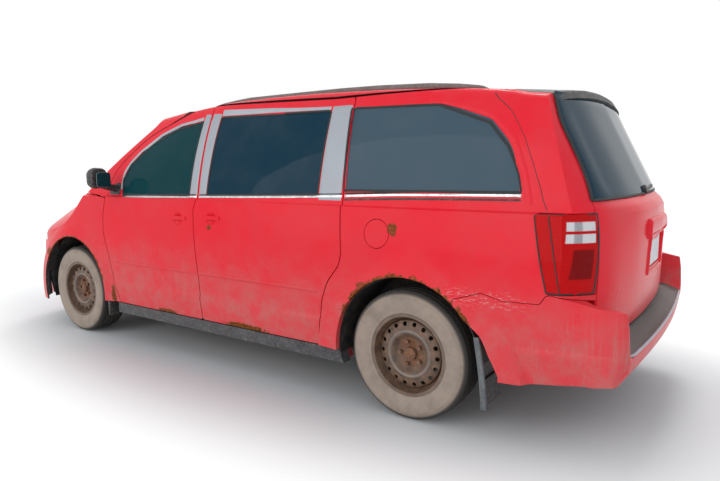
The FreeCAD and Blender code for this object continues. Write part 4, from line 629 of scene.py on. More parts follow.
def make_piece(name, body, slot, finish, points, faces, angle=40.0):
    """A closed mesh that rides on a body; edges sharper than the angle stay crisp."""
    points = np.asarray(points, float).reshape(-1, 3)
    if volume(points, faces) < 0:
        faces = [face[::-1] for face in faces]
    mesh = bpy.data.meshes.new(name)
    mesh.from_pydata(points.tolist(), [], faces)
    mesh.materials.append(finish_of(finish))
    mesh.shade_smooth()
    mesh.set_sharp_from_angle(angle=math.radians(angle))
    thing = placed(name, mesh)
    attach(thing, body)
    return thing


def grid_faces(rows, columns, along=False):
    """Quads of a grid that wraps round its second way; it closes along its first way or gets end caps."""
    index = np.arange(rows * columns).reshape(rows, columns)
    ends = [index[0, ::-1].tolist(), index[-1].tolist()]
    index = np.hstack([index, index[:, :1]])
    if along:
        index = np.vstack([index, index[:1]])
    quads = np.stack([index[:-1, :-1], index[1:, :-1], index[1:, 1:], index[:-1, 1:]], -1)
    return quads.reshape(-1, 4).tolist() + ([] if along else ends)


def joined(*shapes):
    """One list of points and faces from several."""
    points, faces, start = [], [], 0
    for more_points, more_faces in shapes:
        more_points = np.asarray(more_points, float).reshape(-1, 3)
        points.append(more_points)
        faces += [[corner + start for corner in face] for face in more_faces]
        start += len(more_points)
    return np.vstack(points), faces


def along_line(marks, count):
    """Points spaced evenly along straight runs between marks."""
    marks = np.asarray(marks, float)
    runs = np.r_[0, np.cumsum(np.linalg.norm(np.diff(marks, axis=0), axis=1))]
    at = np.linspace(0, runs[-1], count)
    return np.stack([np.interp(at, runs, marks[:, axis]) for axis in range(marks.shape[1])], 1)


def rounded_line(marks, count, closed=False, passes=3):
    """Even points along marks whose corners are cut by averaging neighbours."""
    marks = np.asarray(marks, float)
    if closed:
        marks = np.vstack([marks, marks[:1]])
    points = along_line(marks, count + 1 if closed else count)
    if closed:
        points = points[:-1]
    for _ in range(passes):
        smooth = (np.roll(points, 1, 0) + 2 * points + np.roll(points, -1, 0)) / 4
        if not closed:
            smooth[[0, -1]] = points[[0, -1]]
        points = smooth
    return points


# Place along X and rise of the roof, place along X and drop of its crown below its highest line
ROOF_RISE = ((-2.623, -2.400, -2.150, -1.700, -0.900, 0.200, 0.700, 1.200, 1.700),
             (-0.032, -0.022, -0.008, 0.025, 0.042, 0.048, 0.025, 0.008, 0.0))
ROOF_DROP = ((-2.623, -2.400, -2.150, -1.700, -0.900, 0.200, 0.700, 1.200, 1.700, 2.201, 2.623),
             (0.062, 0.052, 0.040, 0.020, 0.0, 0.018, 0.052, 0.090, 0.120, 0.150, 0.170))
# Height and step of the tail along X, height and share of the lean towards its corners
TAIL_STEP = ((0.88, 1.106, 1.138, 1.174, 1.85), (0.0, -0.026, -0.012, 0.030, 0.046))
TAIL_SHARE = ((0.64, 0.88, 1.106, 1.138, 1.174, 1.85), (0.0, 0.3, 1.0, 0.7, 0.15, 0.6))
# Place along X and height of the bumper's foot, height and step of its front edges along X
BUMPER_FOOT = ((-2.470, -2.392, -2.266, -2.132, -2.090), (0.388, 0.374, 0.354, 0.336, 0.330))
BUMPER_EDGE = ((0.286, 0.318, 0.346, 0.422, 0.525, 0.600), (0.100, 0.097, 0.082, 0.052, 0.040, 0.0))
# The part's tail end and half width, the belt that its section leans in from, the roof's top line
TAIL = -2.5715
HALF_WIDTH = 0.966
ROOF_TOP = 1.752
# The bumper: its corners' start along X and Y and radius, the heights of foot, waist and top, the
# stretch of its width, the heights of the pad's rim and front edge
CORNER_X, CORNER_Y, CORNER_R = -2.4055, 0.836, 0.11
BUMPER_LOW, BUMPER_WAIST, BUMPER_TOP = 0.286, 0.60, 0.64
PAD_WIDTH = ((0.0, 0.70, CORNER_Y, 0.952, 1.10), (0.0, 0.705, 0.882, 0.957, 1.10))
RIM_Z = 0.505
PAD_Z = 0.538


def smooth(value):
    """A step from 0 to 1 with level ends."""
    value = np.clip(value, 0, 1)
    return value * value * (3 - 2 * value)


def eased(places, values, width=0.10):
    """A table through marks whose corners are rounded by averaging over a width, twice."""
    step = 0.004
    fine = np.arange(places[0], places[-1] + step / 2, step)
    reach = max(1, round(width / step / 2))
    line = np.interp(fine, places, values)
    for _ in range(2):
        ends = (2 * line[0] - line[reach:0:-1], line, 2 * line[-1] - line[-2:-reach - 2:-1])
        line = np.convolve(np.concatenate(ends), np.full(2 * reach + 1, 1 / (2 * reach + 1)), "valid")
    return fine, line


# Share of the half width, then metres: how far the tail's plan bows in, leans in and bows more
TAIL_PLAN = (0.0, 0.4, 0.621, 0.828, 0.932, 1.02)
PLAN_IN, PLAN_LEAN, PLAN_MORE = (eased(TAIL_PLAN, values, 0.16) for values in (
    (0.0, 0.010, 0.030, 0.085, 0.165, 0.300),
    (0.0, 0.008, 0.028, 0.052, 0.058, 0.060),
    (0.0, 0.003, 0.010, 0.005, 0.003, 0.0)))
ROOF_LIFT = eased(*ROOF_RISE, 0.30)
# Height and distance ahead of the tail end: a curve through the first three, a line to the last
TAIL_MARKS = ((0.640, 0.109), (0.900, 0.084), (1.185, 0.131), (1.850, 0.443))
TAIL_CURVE = np.polyfit(*np.array(TAIL_MARKS[:3]).T, 2)


def tail_x(y, z):
    """Where the frame's tail stands: its plan bows forward, its section leans in over the belt."""
    curve = np.polyval(TAIL_CURVE, z)
    belt_z, belt_in = TAIL_MARKS[2]
    top_z, top_in = TAIL_MARKS[3]
    line = belt_in + (z - belt_z) * (top_in - belt_in) / (top_z - belt_z)
    return TAIL + np.interp(np.abs(y) / HALF_WIDTH, *PLAN_IN) + np.where(z < belt_z, curve, line)


def formed(points):
    """Frame points on the finished body: the roof is raised between its ends by a rise that
    fades out 80 mm below its crown, and the tail is moved along X by a step under the glass and a
    lean towards its corners, which fade out ahead of it."""
    x, y, z = np.moveaxis(np.asarray(points, float), -1, 0)
    crown = z - (ROOF_TOP - np.interp(x, *ROOF_DROP))
    lift = np.interp(x, *ROOF_LIFT) * smooth((crown + 0.080) / 0.050)
    lift = lift * (0.65 + 0.35 * np.minimum(1, np.abs(y) / 0.69) ** 2)
    aside = np.abs(y) / HALF_WIDTH
    shift = np.interp(z, *TAIL_STEP) + np.interp(aside, *PLAN_LEAN) * np.interp(z, *TAIL_SHARE)
    shift = shift + np.interp(aside, *PLAN_MORE) * smooth((z - 0.64) / 0.20)
    near = smooth((0.25 - (x - tail_x(y, z))) / 0.19)
    return np.stack([x + shift * near, y, z + lift], -1)


def bumper_formed(points):
    """Rear bumper points: rounded plan corners, a foot that rises to the back, front edges that
    slope back as they rise, and a pad that slopes down to the rim."""
    x, y, z = np.moveaxis(np.asarray(points, float), -1, 0)
    back = np.clip((CORNER_X - x) / CORNER_R, 0, None)
    out = np.clip((np.abs(y) - CORNER_Y) / CORNER_R, 0, None)
    round_back = back * np.sqrt(1 - np.minimum(out, 1) ** 2 / 2)
    round_out = out * np.sqrt(1 - np.minimum(back, 1) ** 2 / 2)
    corner = (back > 0) & (out > 0)
    x = np.where(corner, CORNER_X - round_back * CORNER_R, x)
    y = np.where(corner, np.sign(y) * (CORNER_Y + round_out * CORNER_R), y)
    wide = np.sign(y) * np.interp(np.abs(y), *PAD_WIDTH)
    centre = smooth((-2.30 - x) / 0.08) * smooth((0.865 - np.abs(y)) / 0.05)
    y = y + (wide - y) * smooth((-2.34 - x) / 0.06)
    x = x - np.interp(z, *BUMPER_EDGE) * smooth((x + 2.20) / 0.30)
    foot = np.interp(x, *BUMPER_FOOT)
    share = (z - BUMPER_LOW) / (BUMPER_WAIST - BUMPER_LOW)
    raised = np.where(z < BUMPER_WAIST, foot + share * (BUMPER_WAIST - foot), z)
    top = np.interp(x, (-2.53, -2.44), (RIM_Z, PAD_Z))
    sunk = foot + (z - BUMPER_LOW) * (top - foot) / (BUMPER_TOP - BUMPER_LOW)
    return formed(np.stack([x, y, raised * (1 - centre) + sunk * centre], -1))


def gate_formed(points):
    """Liftgate points: the foot of the gate comes down to the pad."""
    x, y, z = np.moveaxis(formed(points), -1, 0)
    return np.stack([x, y, z - 0.098 * smooth((0.80 - z) / 0.15) * smooth((0.86 - np.abs(y)) / 0.05)], -1)


def pipe_formed(points):
    """Exhaust points: the tail pipe ends under the bumper."""
    x, y, z = np.moveaxis(np.asarray(points, float), -1, 0)
    return np.stack([np.where(x < -2.25, -2.25 + (x + 2.25) * 0.45, x), y, z], -1)


# Forms other than formed, by node
FORMS = {"rear_bumper": bumper_formed, "step_pad": bumper_formed, "liftgate": gate_formed,
         "exhaust": pipe_formed}
# How far an edge may cut across a form, and how often edges are halved
MOST_MISS = 0.0008
HALVINGS = 5


def bent(mesh, form):
    """Move a mesh's points by a form, after the edges that would cut across the form by more than
    MOST_MISS have been halved in turns."""
    for _ in range(HALVINGS):
        ends = np.empty(len(mesh.edges) * 2, np.int32)
        mesh.edges.foreach_get("vertices", ends)
        first, second = np.moveaxis(coordinates(mesh)[ends.reshape(-1, 2)], 1, 0)
        miss = np.linalg.norm(form((first + second) / 2) - (form(first) + form(second)) / 2, axis=1)
        halved = np.flatnonzero(miss > MOST_MISS)
        if not len(halved):
            break
        work = bmesh.new()
        work.from_mesh(mesh)
        work.edges.ensure_lookup_table()
        bmesh.ops.subdivide_edges(work, edges=[work.edges[index] for index in halved], cuts=1)
        bmesh.ops.triangulate(work, faces=work.faces)
        work.to_mesh(mesh)
        work.free()
    mesh.vertices.foreach_set("co", form(coordinates(mesh)).reshape(-1))
    mesh.update()


def tree_of(nodes):
    """A tree of the triangles of nodes, for rays."""
    points, faces, count = [], [], 0
    for node in nodes:
        mesh = NODES[node].data
        points += coordinates(mesh).tolist()
        faces += (triangles(mesh) + count).tolist()
        count += len(mesh.vertices)
    return BVHTree.FromPolygons(points, faces)


class TailLook:
    """The finished tail as seen from behind, for pieces that span the gate, its glass and its seams."""

    def __init__(self, look):
        """The heights of a look, at each point the furthest out within 10 mm of the tail's own curve
        and its panels, evened out over about 25 mm."""
        self.look = copy.copy(look)
        y = look.low[0] + look.step[0] * np.arange(look.heights.shape[0])
        z = look.low[1] + look.step[1] * np.arange(look.heights.shape[1])
        heights = np.minimum(look.heights, tail_x(y[:, None], z[None, :]))
        for axis in (0, 1):
            heights = np.minimum.reduce([np.roll(heights, shift, axis) for shift in (-1, 0, 1)])
        for _ in range(10):
            for axis in (0, 1):
                heights = (np.roll(heights, 1, axis) + 2 * heights + np.roll(heights, -1, axis)) / 4
        self.look.heights = heights

    def lift(self, place, out):
        """Points at (y, z) places, a distance behind the tail."""
        x = self.look.height(place)
        points = formed(np.stack([x, place[..., 0], place[..., 1]], -1))
        return points - np.asarray(out)[..., None] * np.array([0.93, 0, -0.36])


class Look:
    """Heights of the body seen straight from one side, on an even grid, read between its points."""

    def __init__(self, across, up, axis, start, nodes):
        """across and up are (low, high, step) of the two ways seen; axis and start say from where."""
        tree = tree_of(nodes)
        self.axis = axis
        self.sign = 1.0 if start > 0 else -1.0
        self.low = np.array([across[0], up[0]])
        self.step = np.array([across[2], up[2]])
        us = np.arange(*across)
        vs = np.arange(*up)
        other = [k for k in range(3) if k != axis]
        self.other = other
        way = Vector([-self.sign if k == axis else 0.0 for k in range(3)])
        heights = np.full((len(us), len(vs)), np.nan)
        begin = [0.0, 0.0, 0.0]
        begin[axis] = start
        for i, u in enumerate(us):
            begin[other[0]] = u
            for j, v in enumerate(vs):
                begin[other[1]] = v
                hit = tree.ray_cast(Vector(begin), way)[0]
                if hit is not None:
                    heights[i, j] = hit[axis]
        for _ in range(60):
            gaps = np.isnan(heights)
            if not gaps.any():
                break
            around = np.stack([np.roll(heights, shift, axis) for shift in (1, -1) for axis in (0, 1)])
            known = ~np.isnan(around)
            total = np.where(known, around, 0).sum(0)
            heights = np.where(gaps & known.any(0), total / np.maximum(known.sum(0), 1), heights)
        self.heights = np.nan_to_num(heights)

    def height(self, place):
        """Height at (u, v) places, blended from the four grid points round each."""
        where = (place - self.low) / self.step
        where = np.clip(where, 0, np.array(self.heights.shape) - 1.001)
        cell = where.astype(int)
        part = where - cell
        i, j = cell[..., 0], cell[..., 1]
        s, t = part[..., 0], part[..., 1]
        h = self.heights
        low = h[i, j] * (1 - s) + h[i + 1, j] * s
        high = h[i, j + 1] * (1 - s) + h[i + 1, j + 1] * s
        return low * (1 - t) + high * t

    def lift(self, place, out):
        """Points at (u, v) places, moved out along the surface's normal by a distance."""
        reach = self.step * 1.5
        slopes = []
        for k in range(2):
            shift = np.zeros(2)
            shift[k] = reach[k]
            slopes.append((self.height(place + shift) - self.height(place - shift)) / (2 * reach[k]))
        normal = np.empty(place.shape[:-1] + (3,))
        normal[..., self.axis] = 1.0
        normal[..., self.other[0]] = -slopes[0]
        normal[..., self.other[1]] = -slopes[1]
        normal *= self.sign / np.linalg.norm(normal, axis=-1, keepdims=True)
        points = np.empty_like(normal)
        points[..., self.axis] = self.height(place)
        points[..., self.other[0]] = place[..., 0]
        points[..., self.other[1]] = place[..., 1]
        return formed(points + normal * np.asarray(out)[..., None])


def strip(look, low_edge, high_edge, height, closed=False, crown=6, sink=0.0012, columns=11):
    """A thin plate between two edges on a seen surface: its section rises from both edges as
    height * (1 - |2t - 1| ** crown), its ends fall to nothing, and its back is sunk a little."""
    low_edge = np.asarray(low_edge, float)
    high_edge = np.asarray(high_edge, float)
    share = (1 - np.cos(np.linspace(0, math.pi, columns))) / 2
    places = low_edge[:, None] * (1 - share[None, :, None]) + high_edge[:, None] * share[None, :, None]
    rise = height * (1 - np.abs(2 * share - 1) ** crown)
    ends = np.ones(len(low_edge))
    if not closed:
        ends[[0, -1]] = 0.0
        ends[[1, -2]] = 0.75
    top = look.lift(places, ends[:, None] * rise[None, :])
    back = look.lift(places[:, 1:-1][:, ::-1], np.full((len(low_edge), len(share) - 2), -sink))
    points = np.concatenate([top, back], 1)
    return points, grid_faces(points.shape[0], points.shape[1], along=closed)


def edges_of(path, width, closed=False):
    """Two lines beside a path, half the width to each side."""
    path = np.asarray(path, float)
    if closed:
        way = np.roll(path, -1, 0) - np.roll(path, 1, 0)
    else:
        way = np.gradient(path, axis=0)
    way /= np.linalg.norm(way, axis=1, keepdims=True)
    aside = np.stack([-way[:, 1], way[:, 0]], 1) * (np.asarray(width) / 2).reshape(-1, 1)
    return path - aside, path + aside


def band(look, marks, width, height, count=60, closed=False, passes=3, crown=6):
    """A raised band of one width along marks on a seen surface."""
    path = rounded_line(marks, count, closed, passes)
    return strip(look, *edges_of(path, width, closed), height, closed, crown)


def flipped(points):
    """The same points on the other side of the car."""
    return np.asarray(points) * np.array([1.0, -1.0, 1.0])


def both_sides(name, body, slot, finish, shape, angle=40.0):
    """A piece on the left and its mirror twin on the right; body has {side} where it differs."""
    points, faces = shape
    points = np.asarray(points, float).reshape(-1, 3)
    for side, sign in SIDES:
        placed = points if sign > 0 else flipped(points)
        make_piece(f"{name}_{side}", body.format(side=side), slot, finish, placed, faces, angle)


def pipe(path, radius, sides=12):
    """A round rod along 3-D points; each section stands square to the line."""
    path = np.asarray(path, float)
    way = np.gradient(path, axis=0)
    way /= np.linalg.norm(way, axis=1, keepdims=True)
    guide = np.array([0.0, 0.0, 1.0]) if abs(way[0, 2]) < 0.9 else np.array([1.0, 0.0, 0.0])
    first = np.cross(way, guide)
    first /= np.linalg.norm(first, axis=1, keepdims=True)
    second = np.cross(way, first)
    angle = np.linspace(0, 2 * math.pi, sides, endpoint=False)
    radius = np.broadcast_to(np.asarray(radius, float), (len(path),))
    around = first[:, None] * np.cos(angle)[None, :, None] + second[:, None] * np.sin(angle)[None, :, None]
    points = path[:, None] + around * radius[:, None, None]
    return points, grid_faces(len(path), sides)


def pad_form(centre, half, power=0.45, rows=28, columns=44):
    """A crowned closed pad: a ball whose sines and cosines are raised to a power below 1, so that
    it is nearly a box with full, round faces. half holds its three half sizes."""
    lift = np.linspace(-math.pi / 2, math.pi / 2, rows)
    turn = np.linspace(0, 2 * math.pi, columns, endpoint=False)

    def swollen(value):
        return np.sign(value) * np.abs(value) ** power

    x = swollen(np.cos(lift))[:, None] * swollen(np.cos(turn))[None, :]
    y = swollen(np.cos(lift))[:, None] * swollen(np.sin(turn))[None, :]
    z = np.repeat(swollen(np.sin(lift))[:, None], columns, 1)
    points = np.stack([x, y, z], -1) * np.asarray(half) + np.asarray(centre)
    return points, grid_faces(rows, columns)


# Dressing of the frame's own nodes

CABIN_AXIS = 0.95

# Record slot, outer finish, finish of the faces that look into the cabin, nodes
DRESSED = (
    ("red_paint", red_paint, inner_trim, "roof"),
    ("red_paint", red_paint, inner_paint, "hood fenders"),
    ("red_paint", red_paint, black_trim, "front_bumper"),
    ("red_paint", red_paint, red_paint, "rear_bumper"),
    ("red_paint", red_paint, inner_trim, "quarter_left quarter_right"),
    ("red_paint", red_paint, inner_trim, "sliding_door_left sliding_door_right"),
    ("red_paint", red_paint, inner_trim, "front_door_left front_door_right liftgate"),
    ("red_paint", red_paint, inner_paint, "fuel_lid"),
    ("structure_steel", inner_paint, inner_trim, "side_frame_left side_frame_right"),
    ("structure_steel", dark_steel, dark_steel, "floor_pan"),
    ("structure_steel", inner_paint, inner_paint, "front_frame"),
    ("engine_metal", cast_metal, cast_metal, "radiator engine"),
    ("structure_steel", dark_steel, dark_steel, "exhaust"),
    ("tank_plastic", liner_plastic, liner_plastic, "fuel_tank"),
    ("structure_steel", dark_steel, dark_steel, "front_axle rear_axle knuckle_left knuckle_right"),
    ("clear_glass", clear_glass, clear_glass, "windscreen front_door_glass_left front_door_glass_right"),
    ("tinted_glass", privacy_glass, privacy_glass, "side_glass liftgate_glass"),
    ("black_plastic", black_trim, black_trim, "cowl grille rear_wiper mirror_left mirror_right"),
    ("black_plastic", pad_plastic, pad_plastic, "step_pad"),
    ("black_plastic", grey_cladding, grey_cladding, "sill_cladding"),
    ("black_plastic", liner_plastic, liner_plastic, "front_liners rear_liners"),
    ("black_plastic", flap_rubber, flap_rubber, "mud_flaps"),
    ("lamp_red", lamp_red, black_trim, "tail_lamps"),
    ("lamp_clear", lamp_clear, black_trim, "headlamps"),
    ("dash_plastic", dash_plastic, dash_plastic, "dashboard"),
    ("black_plastic", black_trim, black_trim, "steering_wheel"),
    ("rusty_steel", rusty_steel, rusty_steel, "wheel_front_left wheel_front_right"),
    ("rusty_steel", rusty_steel, rusty_steel, "wheel_rear_left wheel_rear_right"),
)
# Nodes that reach the roof or the tail, or the tail pipe
FORMED = ("roof", "quarter_left", "quarter_right", "liftgate", "liftgate_glass", "tail_lamps",
          "rear_bumper", "step_pad", "exhaust", "side_frame_left", "side_frame_right", "side_glass",
          "rear_wiper", "windscreen", "front_door_left", "front_door_right", "sliding_door_left",
          "sliding_door_right")


def welded(node):
    """A node's points and triangles with its equal corners merged."""
    mesh = NODES[node].data
    points, back = np.unique(coordinates(mesh).round(5), axis=0, return_inverse=True)
    faces = back.reshape(-1)[triangles(mesh)]
    real = (faces != np.roll(faces, 1, 1)).all(1)
    return points, faces[real]


def dress(node, outer, inner):
    """A welded, smoothly shaded copy of a node in its finish and final form, in the node's place."""
    points, faces = welded(node)
    mesh = bpy.data.meshes.new(node + "_skin")
    mesh.from_pydata(points.tolist(), [], faces.tolist())
    mesh.materials.append(finish_of(outer))
    if inner is not outer:
        mesh.materials.append(finish_of(inner))
        corners = points[faces]
        centres = corners.mean(1)
        normals = np.cross(corners[:, 1] - corners[:, 0], corners[:, 2] - corners[:, 0])
        normals /= np.linalg.norm(normals, axis=1, keepdims=True) + 1e-12
        axis = np.zeros_like(centres)
        axis[:, 0] = np.clip(centres[:, 0], -1.6, 1.4)
        axis[:, 2] = CABIN_AXIS
        away = centres - axis
        away /= np.linalg.norm(away, axis=1, keepdims=True)
        mesh.polygons.foreach_set("material_index", ((normals * away).sum(1) < -0.3).astype(np.int32))
    if node in FORMED:
        bent(mesh, FORMS.get(node, formed))
    mesh.shade_smooth()
    mesh.set_sharp_from_angle(angle=math.radians(28))
    thing = placed(node + "_skin", mesh)
    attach(thing, BODY_OF[node][0])
    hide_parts(node)
    return thing


# Tyres

# Half of the tyre's section from the bead to the tread's middle: out along the axle, radius
TYRE_SECTION = (
    (0.0846, 0.2045), (0.0882, 0.2130), (0.0886, 0.2213), (0.0960, 0.2225), (0.1000, 0.2290),
    (0.1002, 0.2340), (0.1045, 0.2420), (0.1085, 0.2560), (0.1110, 0.2740), (0.1113, 0.2900),
    (0.1098, 0.3050), (0.1102, 0.3065), (0.1085, 0.3090), (0.1062, 0.3190), (0.1030, 0.3280),
    (0.0985, 0.3360), (0.0940, 0.3410),
)
# Tread from its edge to the middle: out along the axle, radius, 1 in a groove all round, 1 in a block
TREAD = (
    (0.0900, 0.3440, 0, 1), (0.0780, 0.3462, 0, 1), (0.0690, 0.3470, 0, 1), (0.0682, 0.3470, 1, 0),
    (0.0602, 0.3476, 1, 0), (0.0594, 0.3476, 0, 1), (0.0450, 0.3484, 0, 1), (0.0300, 0.3490, 0, 1),
    (0.0292, 0.3490, 1, 0), (0.0212, 0.3492, 1, 0), (0.0204, 0.3492, 0, 1), (0.0100, 0.3494, 0, 1),
)
PITCHES = 74


def tyre_shape(centre, depth):
    """A tyre turned about its axle. Its radius drops by the tread depth in four grooves all round,
    and in slanted slots between blocks; its shoulder has a rib at each block."""
    half = [(out, radius, 0, 0) for out, radius in TYRE_SECTION] + list(TREAD)
    left = np.array(half + [(0.0, 0.3495, 0, 1)] + [(-out, radius, groove, block)
                                                   for out, radius, groove, block in half[::-1]])
    inside = np.array([(-0.080, 0.2040, 0, 0), (0.080, 0.2040, 0, 0)])
    section = np.vstack([left, inside])
    phase = np.array([0.0, 0.06, 0.44, 0.50, 0.56, 0.94])
    pitch = (np.arange(PITCHES)[:, None] + phase[None, :]).reshape(-1)
    slot = np.tile([1.0, 0.0, 0.0, 0.6, 0.0, 0.0], PITCHES)
    out, radius, groove, block = section.T
    slant = 0.9 * np.abs(out) / 0.09 * np.sign(out)
    angle = (pitch[:, None] + slant[None, :] * (block[None, :] > 0)) * (2 * math.pi / PITCHES)
    cut = np.maximum(groove[None, :], block[None, :] * slot[:, None] * 0.8)
    shoulder = np.exp(-((radius - 0.3365) / 0.006) ** 2) * (np.abs(out) > 0.09)
    reach = radius[None, :] - depth * cut - 0.0016 * shoulder[None, :] * slot[:, None]
    x = centre.x + reach * np.cos(angle)
    z = centre.z + reach * np.sin(angle)
    y = np.repeat(centre.y + out[None, :], len(pitch), 0)
    return np.stack([x, y, z], -1), grid_faces(len(pitch), len(section), along=True)


# Seats

def seat_pad(name, node, centre, half, tilt, seams, dish=0.0):
    """A padded seat piece: a crowned pad with sewn seams pressed into its face, dished in its
    middle and tipped back about Y. seams are (axis, place, width) in the pad's own frame."""
    points, faces = pad_form((0, 0, 0), half, 0.36, 44, 92)
    x, y, z = points[..., 0], points[..., 1], points[..., 2]
    face = np.clip(z / half[2], 0, 1) ** 2
    drop = dish * np.exp(-(x / (0.6 * half[0])) ** 2 - (y / (0.62 * half[1])) ** 2)
    for axis, place, width in seams:
        along = (x, y)[axis]
        drop = drop + 0.007 * np.exp(-((along - place) / width) ** 2)
    z = z - face * drop
    c, s = math.cos(tilt), math.sin(tilt)
    points = np.stack([x * c + z * s + centre[0], y + centre[1], z * c - x * s + centre[2]], -1)
    thing = make_piece(name, BODY_OF[node][0], "seat_cloth", seat_cloth, points, faces, 180)
    return thing


def seat_row(node, row, chairs, width, heads):
    """Cushion, back and head rests of each chair in a node, on a plain moulded base."""
    low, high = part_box(node)
    floor = low.z
    x = high.x - 0.255
    for side, y in chairs:
        tag = f"{row}_{side}"
        half_y = width / 2 - 0.006
        bolster = half_y * 0.62
        seams = ((1, bolster, 0.007), (1, -bolster, 0.007), (0, 0.05, 0.007), (0, -0.08, 0.007))
        seat_pad(f"seat_cushion_{tag}", node, (x + 0.010, y, floor + 0.222),
                               (0.248, half_y, 0.068), -0.05, seams, 0.018)
        back_seams = ((1, bolster, 0.007), (1, -bolster, 0.007), (0, -0.10, 0.007), (0, 0.12, 0.007))
        seat_pad(f"seat_back_{tag}", node, (x - 0.252, y, floor + 0.525),
                               (0.305, half_y, 0.050), math.radians(90 + 13.5) - math.pi,
                               back_seams, 0.014)
        base = pad_form((x + 0.010, y, floor + 0.085), (0.185, width / 2 - 0.052, 0.085), 0.16, 16, 44)
        make_piece(f"seat_base_{tag}", BODY_OF[node][0], "dash_plastic", black_trim, *base)
    for number, y in enumerate(heads):
        seat_pad(f"head_rest_{row}_{number}", node, (x - 0.328, y, floor + 0.926),
                               (0.076, 0.122, 0.040), math.radians(90 + 5) - math.pi, ())
        rods = [pipe(((x - 0.325, y + aside, floor + 0.78), (x - 0.325, y + aside, floor + 0.88)), 0.006)
                for aside in (-0.05, 0.05)]
        make_piece(f"head_rods_{row}_{number}", BODY_OF[node][0], "engine_metal",
                                 bright_trim, *joined(*rods))
    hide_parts(node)


# Trim lines on the sides: x and z of the marks, in metres

FRONT_BELT = ((0.955, 1.121), (0.793, 1.123), (0.450, 1.131), (0.128, 1.137))
SLIDING_BELT = ((0.105, 1.137), (-0.400, 1.149), (-1.056, 1.168))
QUARTER_BELT = ((-1.074, 1.171), (-1.422, 1.184), (-1.800, 1.191), (-2.052, 1.194))
FRONT_GLASS_TOP = ((0.985, 1.170), (0.972, 1.300), (0.905, 1.380), (0.823, 1.446), (0.627, 1.560),
                   (0.434, 1.622), (0.212, 1.652))
SLIDING_GLASS_TOP = ((0.030, 1.672), (-0.420, 1.670), (-0.880, 1.662))
FRONT_GLASS = ((0.202, 1.141), (0.960, 1.130), (0.974, 1.240), (0.915, 1.352), (0.700, 1.498), (0.470, 1.592),
               (0.202, 1.636))
SLIDING_GLASS = ((0.030, 1.150), (0.030, 1.654), (-0.885, 1.646), (-0.885, 1.172))
QUARTER_GLASS = ((-1.064, 1.201), (-1.026, 1.652), (-1.560, 1.640), (-1.850, 1.536), (-1.958, 1.420),
                 (-2.030, 1.290), (-2.052, 1.208))
QUARTER_LIP = ((-1.500, 1.672), (-1.620, 1.660), (-1.870, 1.572), (-1.995, 1.440), (-2.072, 1.300),
               (-2.098, 1.200), (-2.104, 1.150))
SIDE_NODES = ("front_door_left", "sliding_door_left", "quarter_left", "roof", "fenders", "side_glass",
              "front_door_glass_left", "tail_lamps", "rear_bumper", "fuel_lid", "front_bumper")
REAR_NODES = ("liftgate", "rear_bumper", "roof", "quarter_left", "quarter_right", "tail_lamps",
              "liftgate_glass", "step_pad")
LOOKS = {}


def side_look():
    """The left side as seen from the left."""
    if "side" not in LOOKS:
        LOOKS["side"] = Look((-2.50, 2.40, 0.0100), (0.40, 1.80, 0.0100), 1, 1.4, SIDE_NODES)
    return LOOKS["side"]


def rear_look():
    """The back as seen from behind."""
    if "rear" not in LOOKS:
        LOOKS["rear"] = Look((-0.95, 0.95, 0.0100), (0.45, 1.75, 0.0100), 0, -2.9, REAR_NODES)
    return LOOKS["rear"]


def belt_trim():
    """Bright strips at the foot of the windows, each over a black rubber line."""
    look = side_look()
    runs = (("front", "front_door_{side}", FRONT_BELT), ("sliding", "shell", SLIDING_BELT),
            ("quarter", "shell", QUARTER_BELT))
    for tag, body, marks in runs:
        path = rounded_line(marks, 90)
        low = path + (0, -0.0065)
        high = path + (0, 0.0085)
        both_sides(f"belt_strip_{tag}", body, "engine_metal", bright_trim, strip(look, low, high, 0.0034))
        both_sides(f"belt_lip_{tag}", body, "black_plastic", seal_rubber,
                   strip(look, path + (0, 0.0095), path + (0, 0.0185), 0.0030))
    track = rounded_line(np.array(QUARTER_BELT) + (0, -0.019), 90)
    both_sides("slide_track", "shell", "black_plastic", black_trim,
               strip(look, track - (0, 0.005), track + (0, 0.005), 0.0022))


def window_seals():
    """Rubber round each side window, over the gap between glass and frame."""
    look = side_look()
    for tag, body, marks in (("front", "front_door_{side}", FRONT_GLASS), ("sliding", "shell", SLIDING_GLASS),
                             ("quarter", "shell", QUARTER_GLASS)):
        shape = band(look, marks, 0.0135, 0.0042, 300, True, 2, 4)
        both_sides(f"window_seal_{tag}", body, "black_plastic", seal_rubber, shape)
    both_sides("window_top_front", "front_door_{side}", "roof_rail", grey_strip,
               band(look, FRONT_GLASS_TOP, 0.021, 0.0030, 160, False, 8))
    both_sides("window_top_sliding", "shell", "roof_rail", grey_strip,
               band(look, SLIDING_GLASS_TOP, 0.019, 0.0030, 90))
    both_sides("quarter_lip", "shell", "red_paint", red_paint, band(look, QUARTER_LIP, 0.046, 0.0032, 120,
                                                                  False, 6, 2))


def post_panels():
    """Brushed silver panels on the posts beside the doors."""
    look = side_look()
    z = np.linspace(1.146, 1.672, 60)
    share = (z - z[0]) / (z[-1] - z[0])

    def upright(name, body, low_x, high_x):
        low = np.stack([np.interp(share, *low_x), z], 1)
        high = np.stack([np.interp(share, *high_x), z], 1)
        both_sides(name, body, "roof_rail", silver_applique, strip(look, low, high, 0.0028, crown=10))

    upright("post_front", "front_door_{side}", ((0, 1), (0.122, 0.139)), ((0, 1), (0.196, 0.198)))
    upright("post_sliding", "shell", ((0, 1), (0.036, 0.036)), ((0, 1), (0.104, 0.124)))
    upright("post_rear", "shell", ((0, 1), (-1.052, -1.032)), ((0, 1), (-0.897, -0.892)))


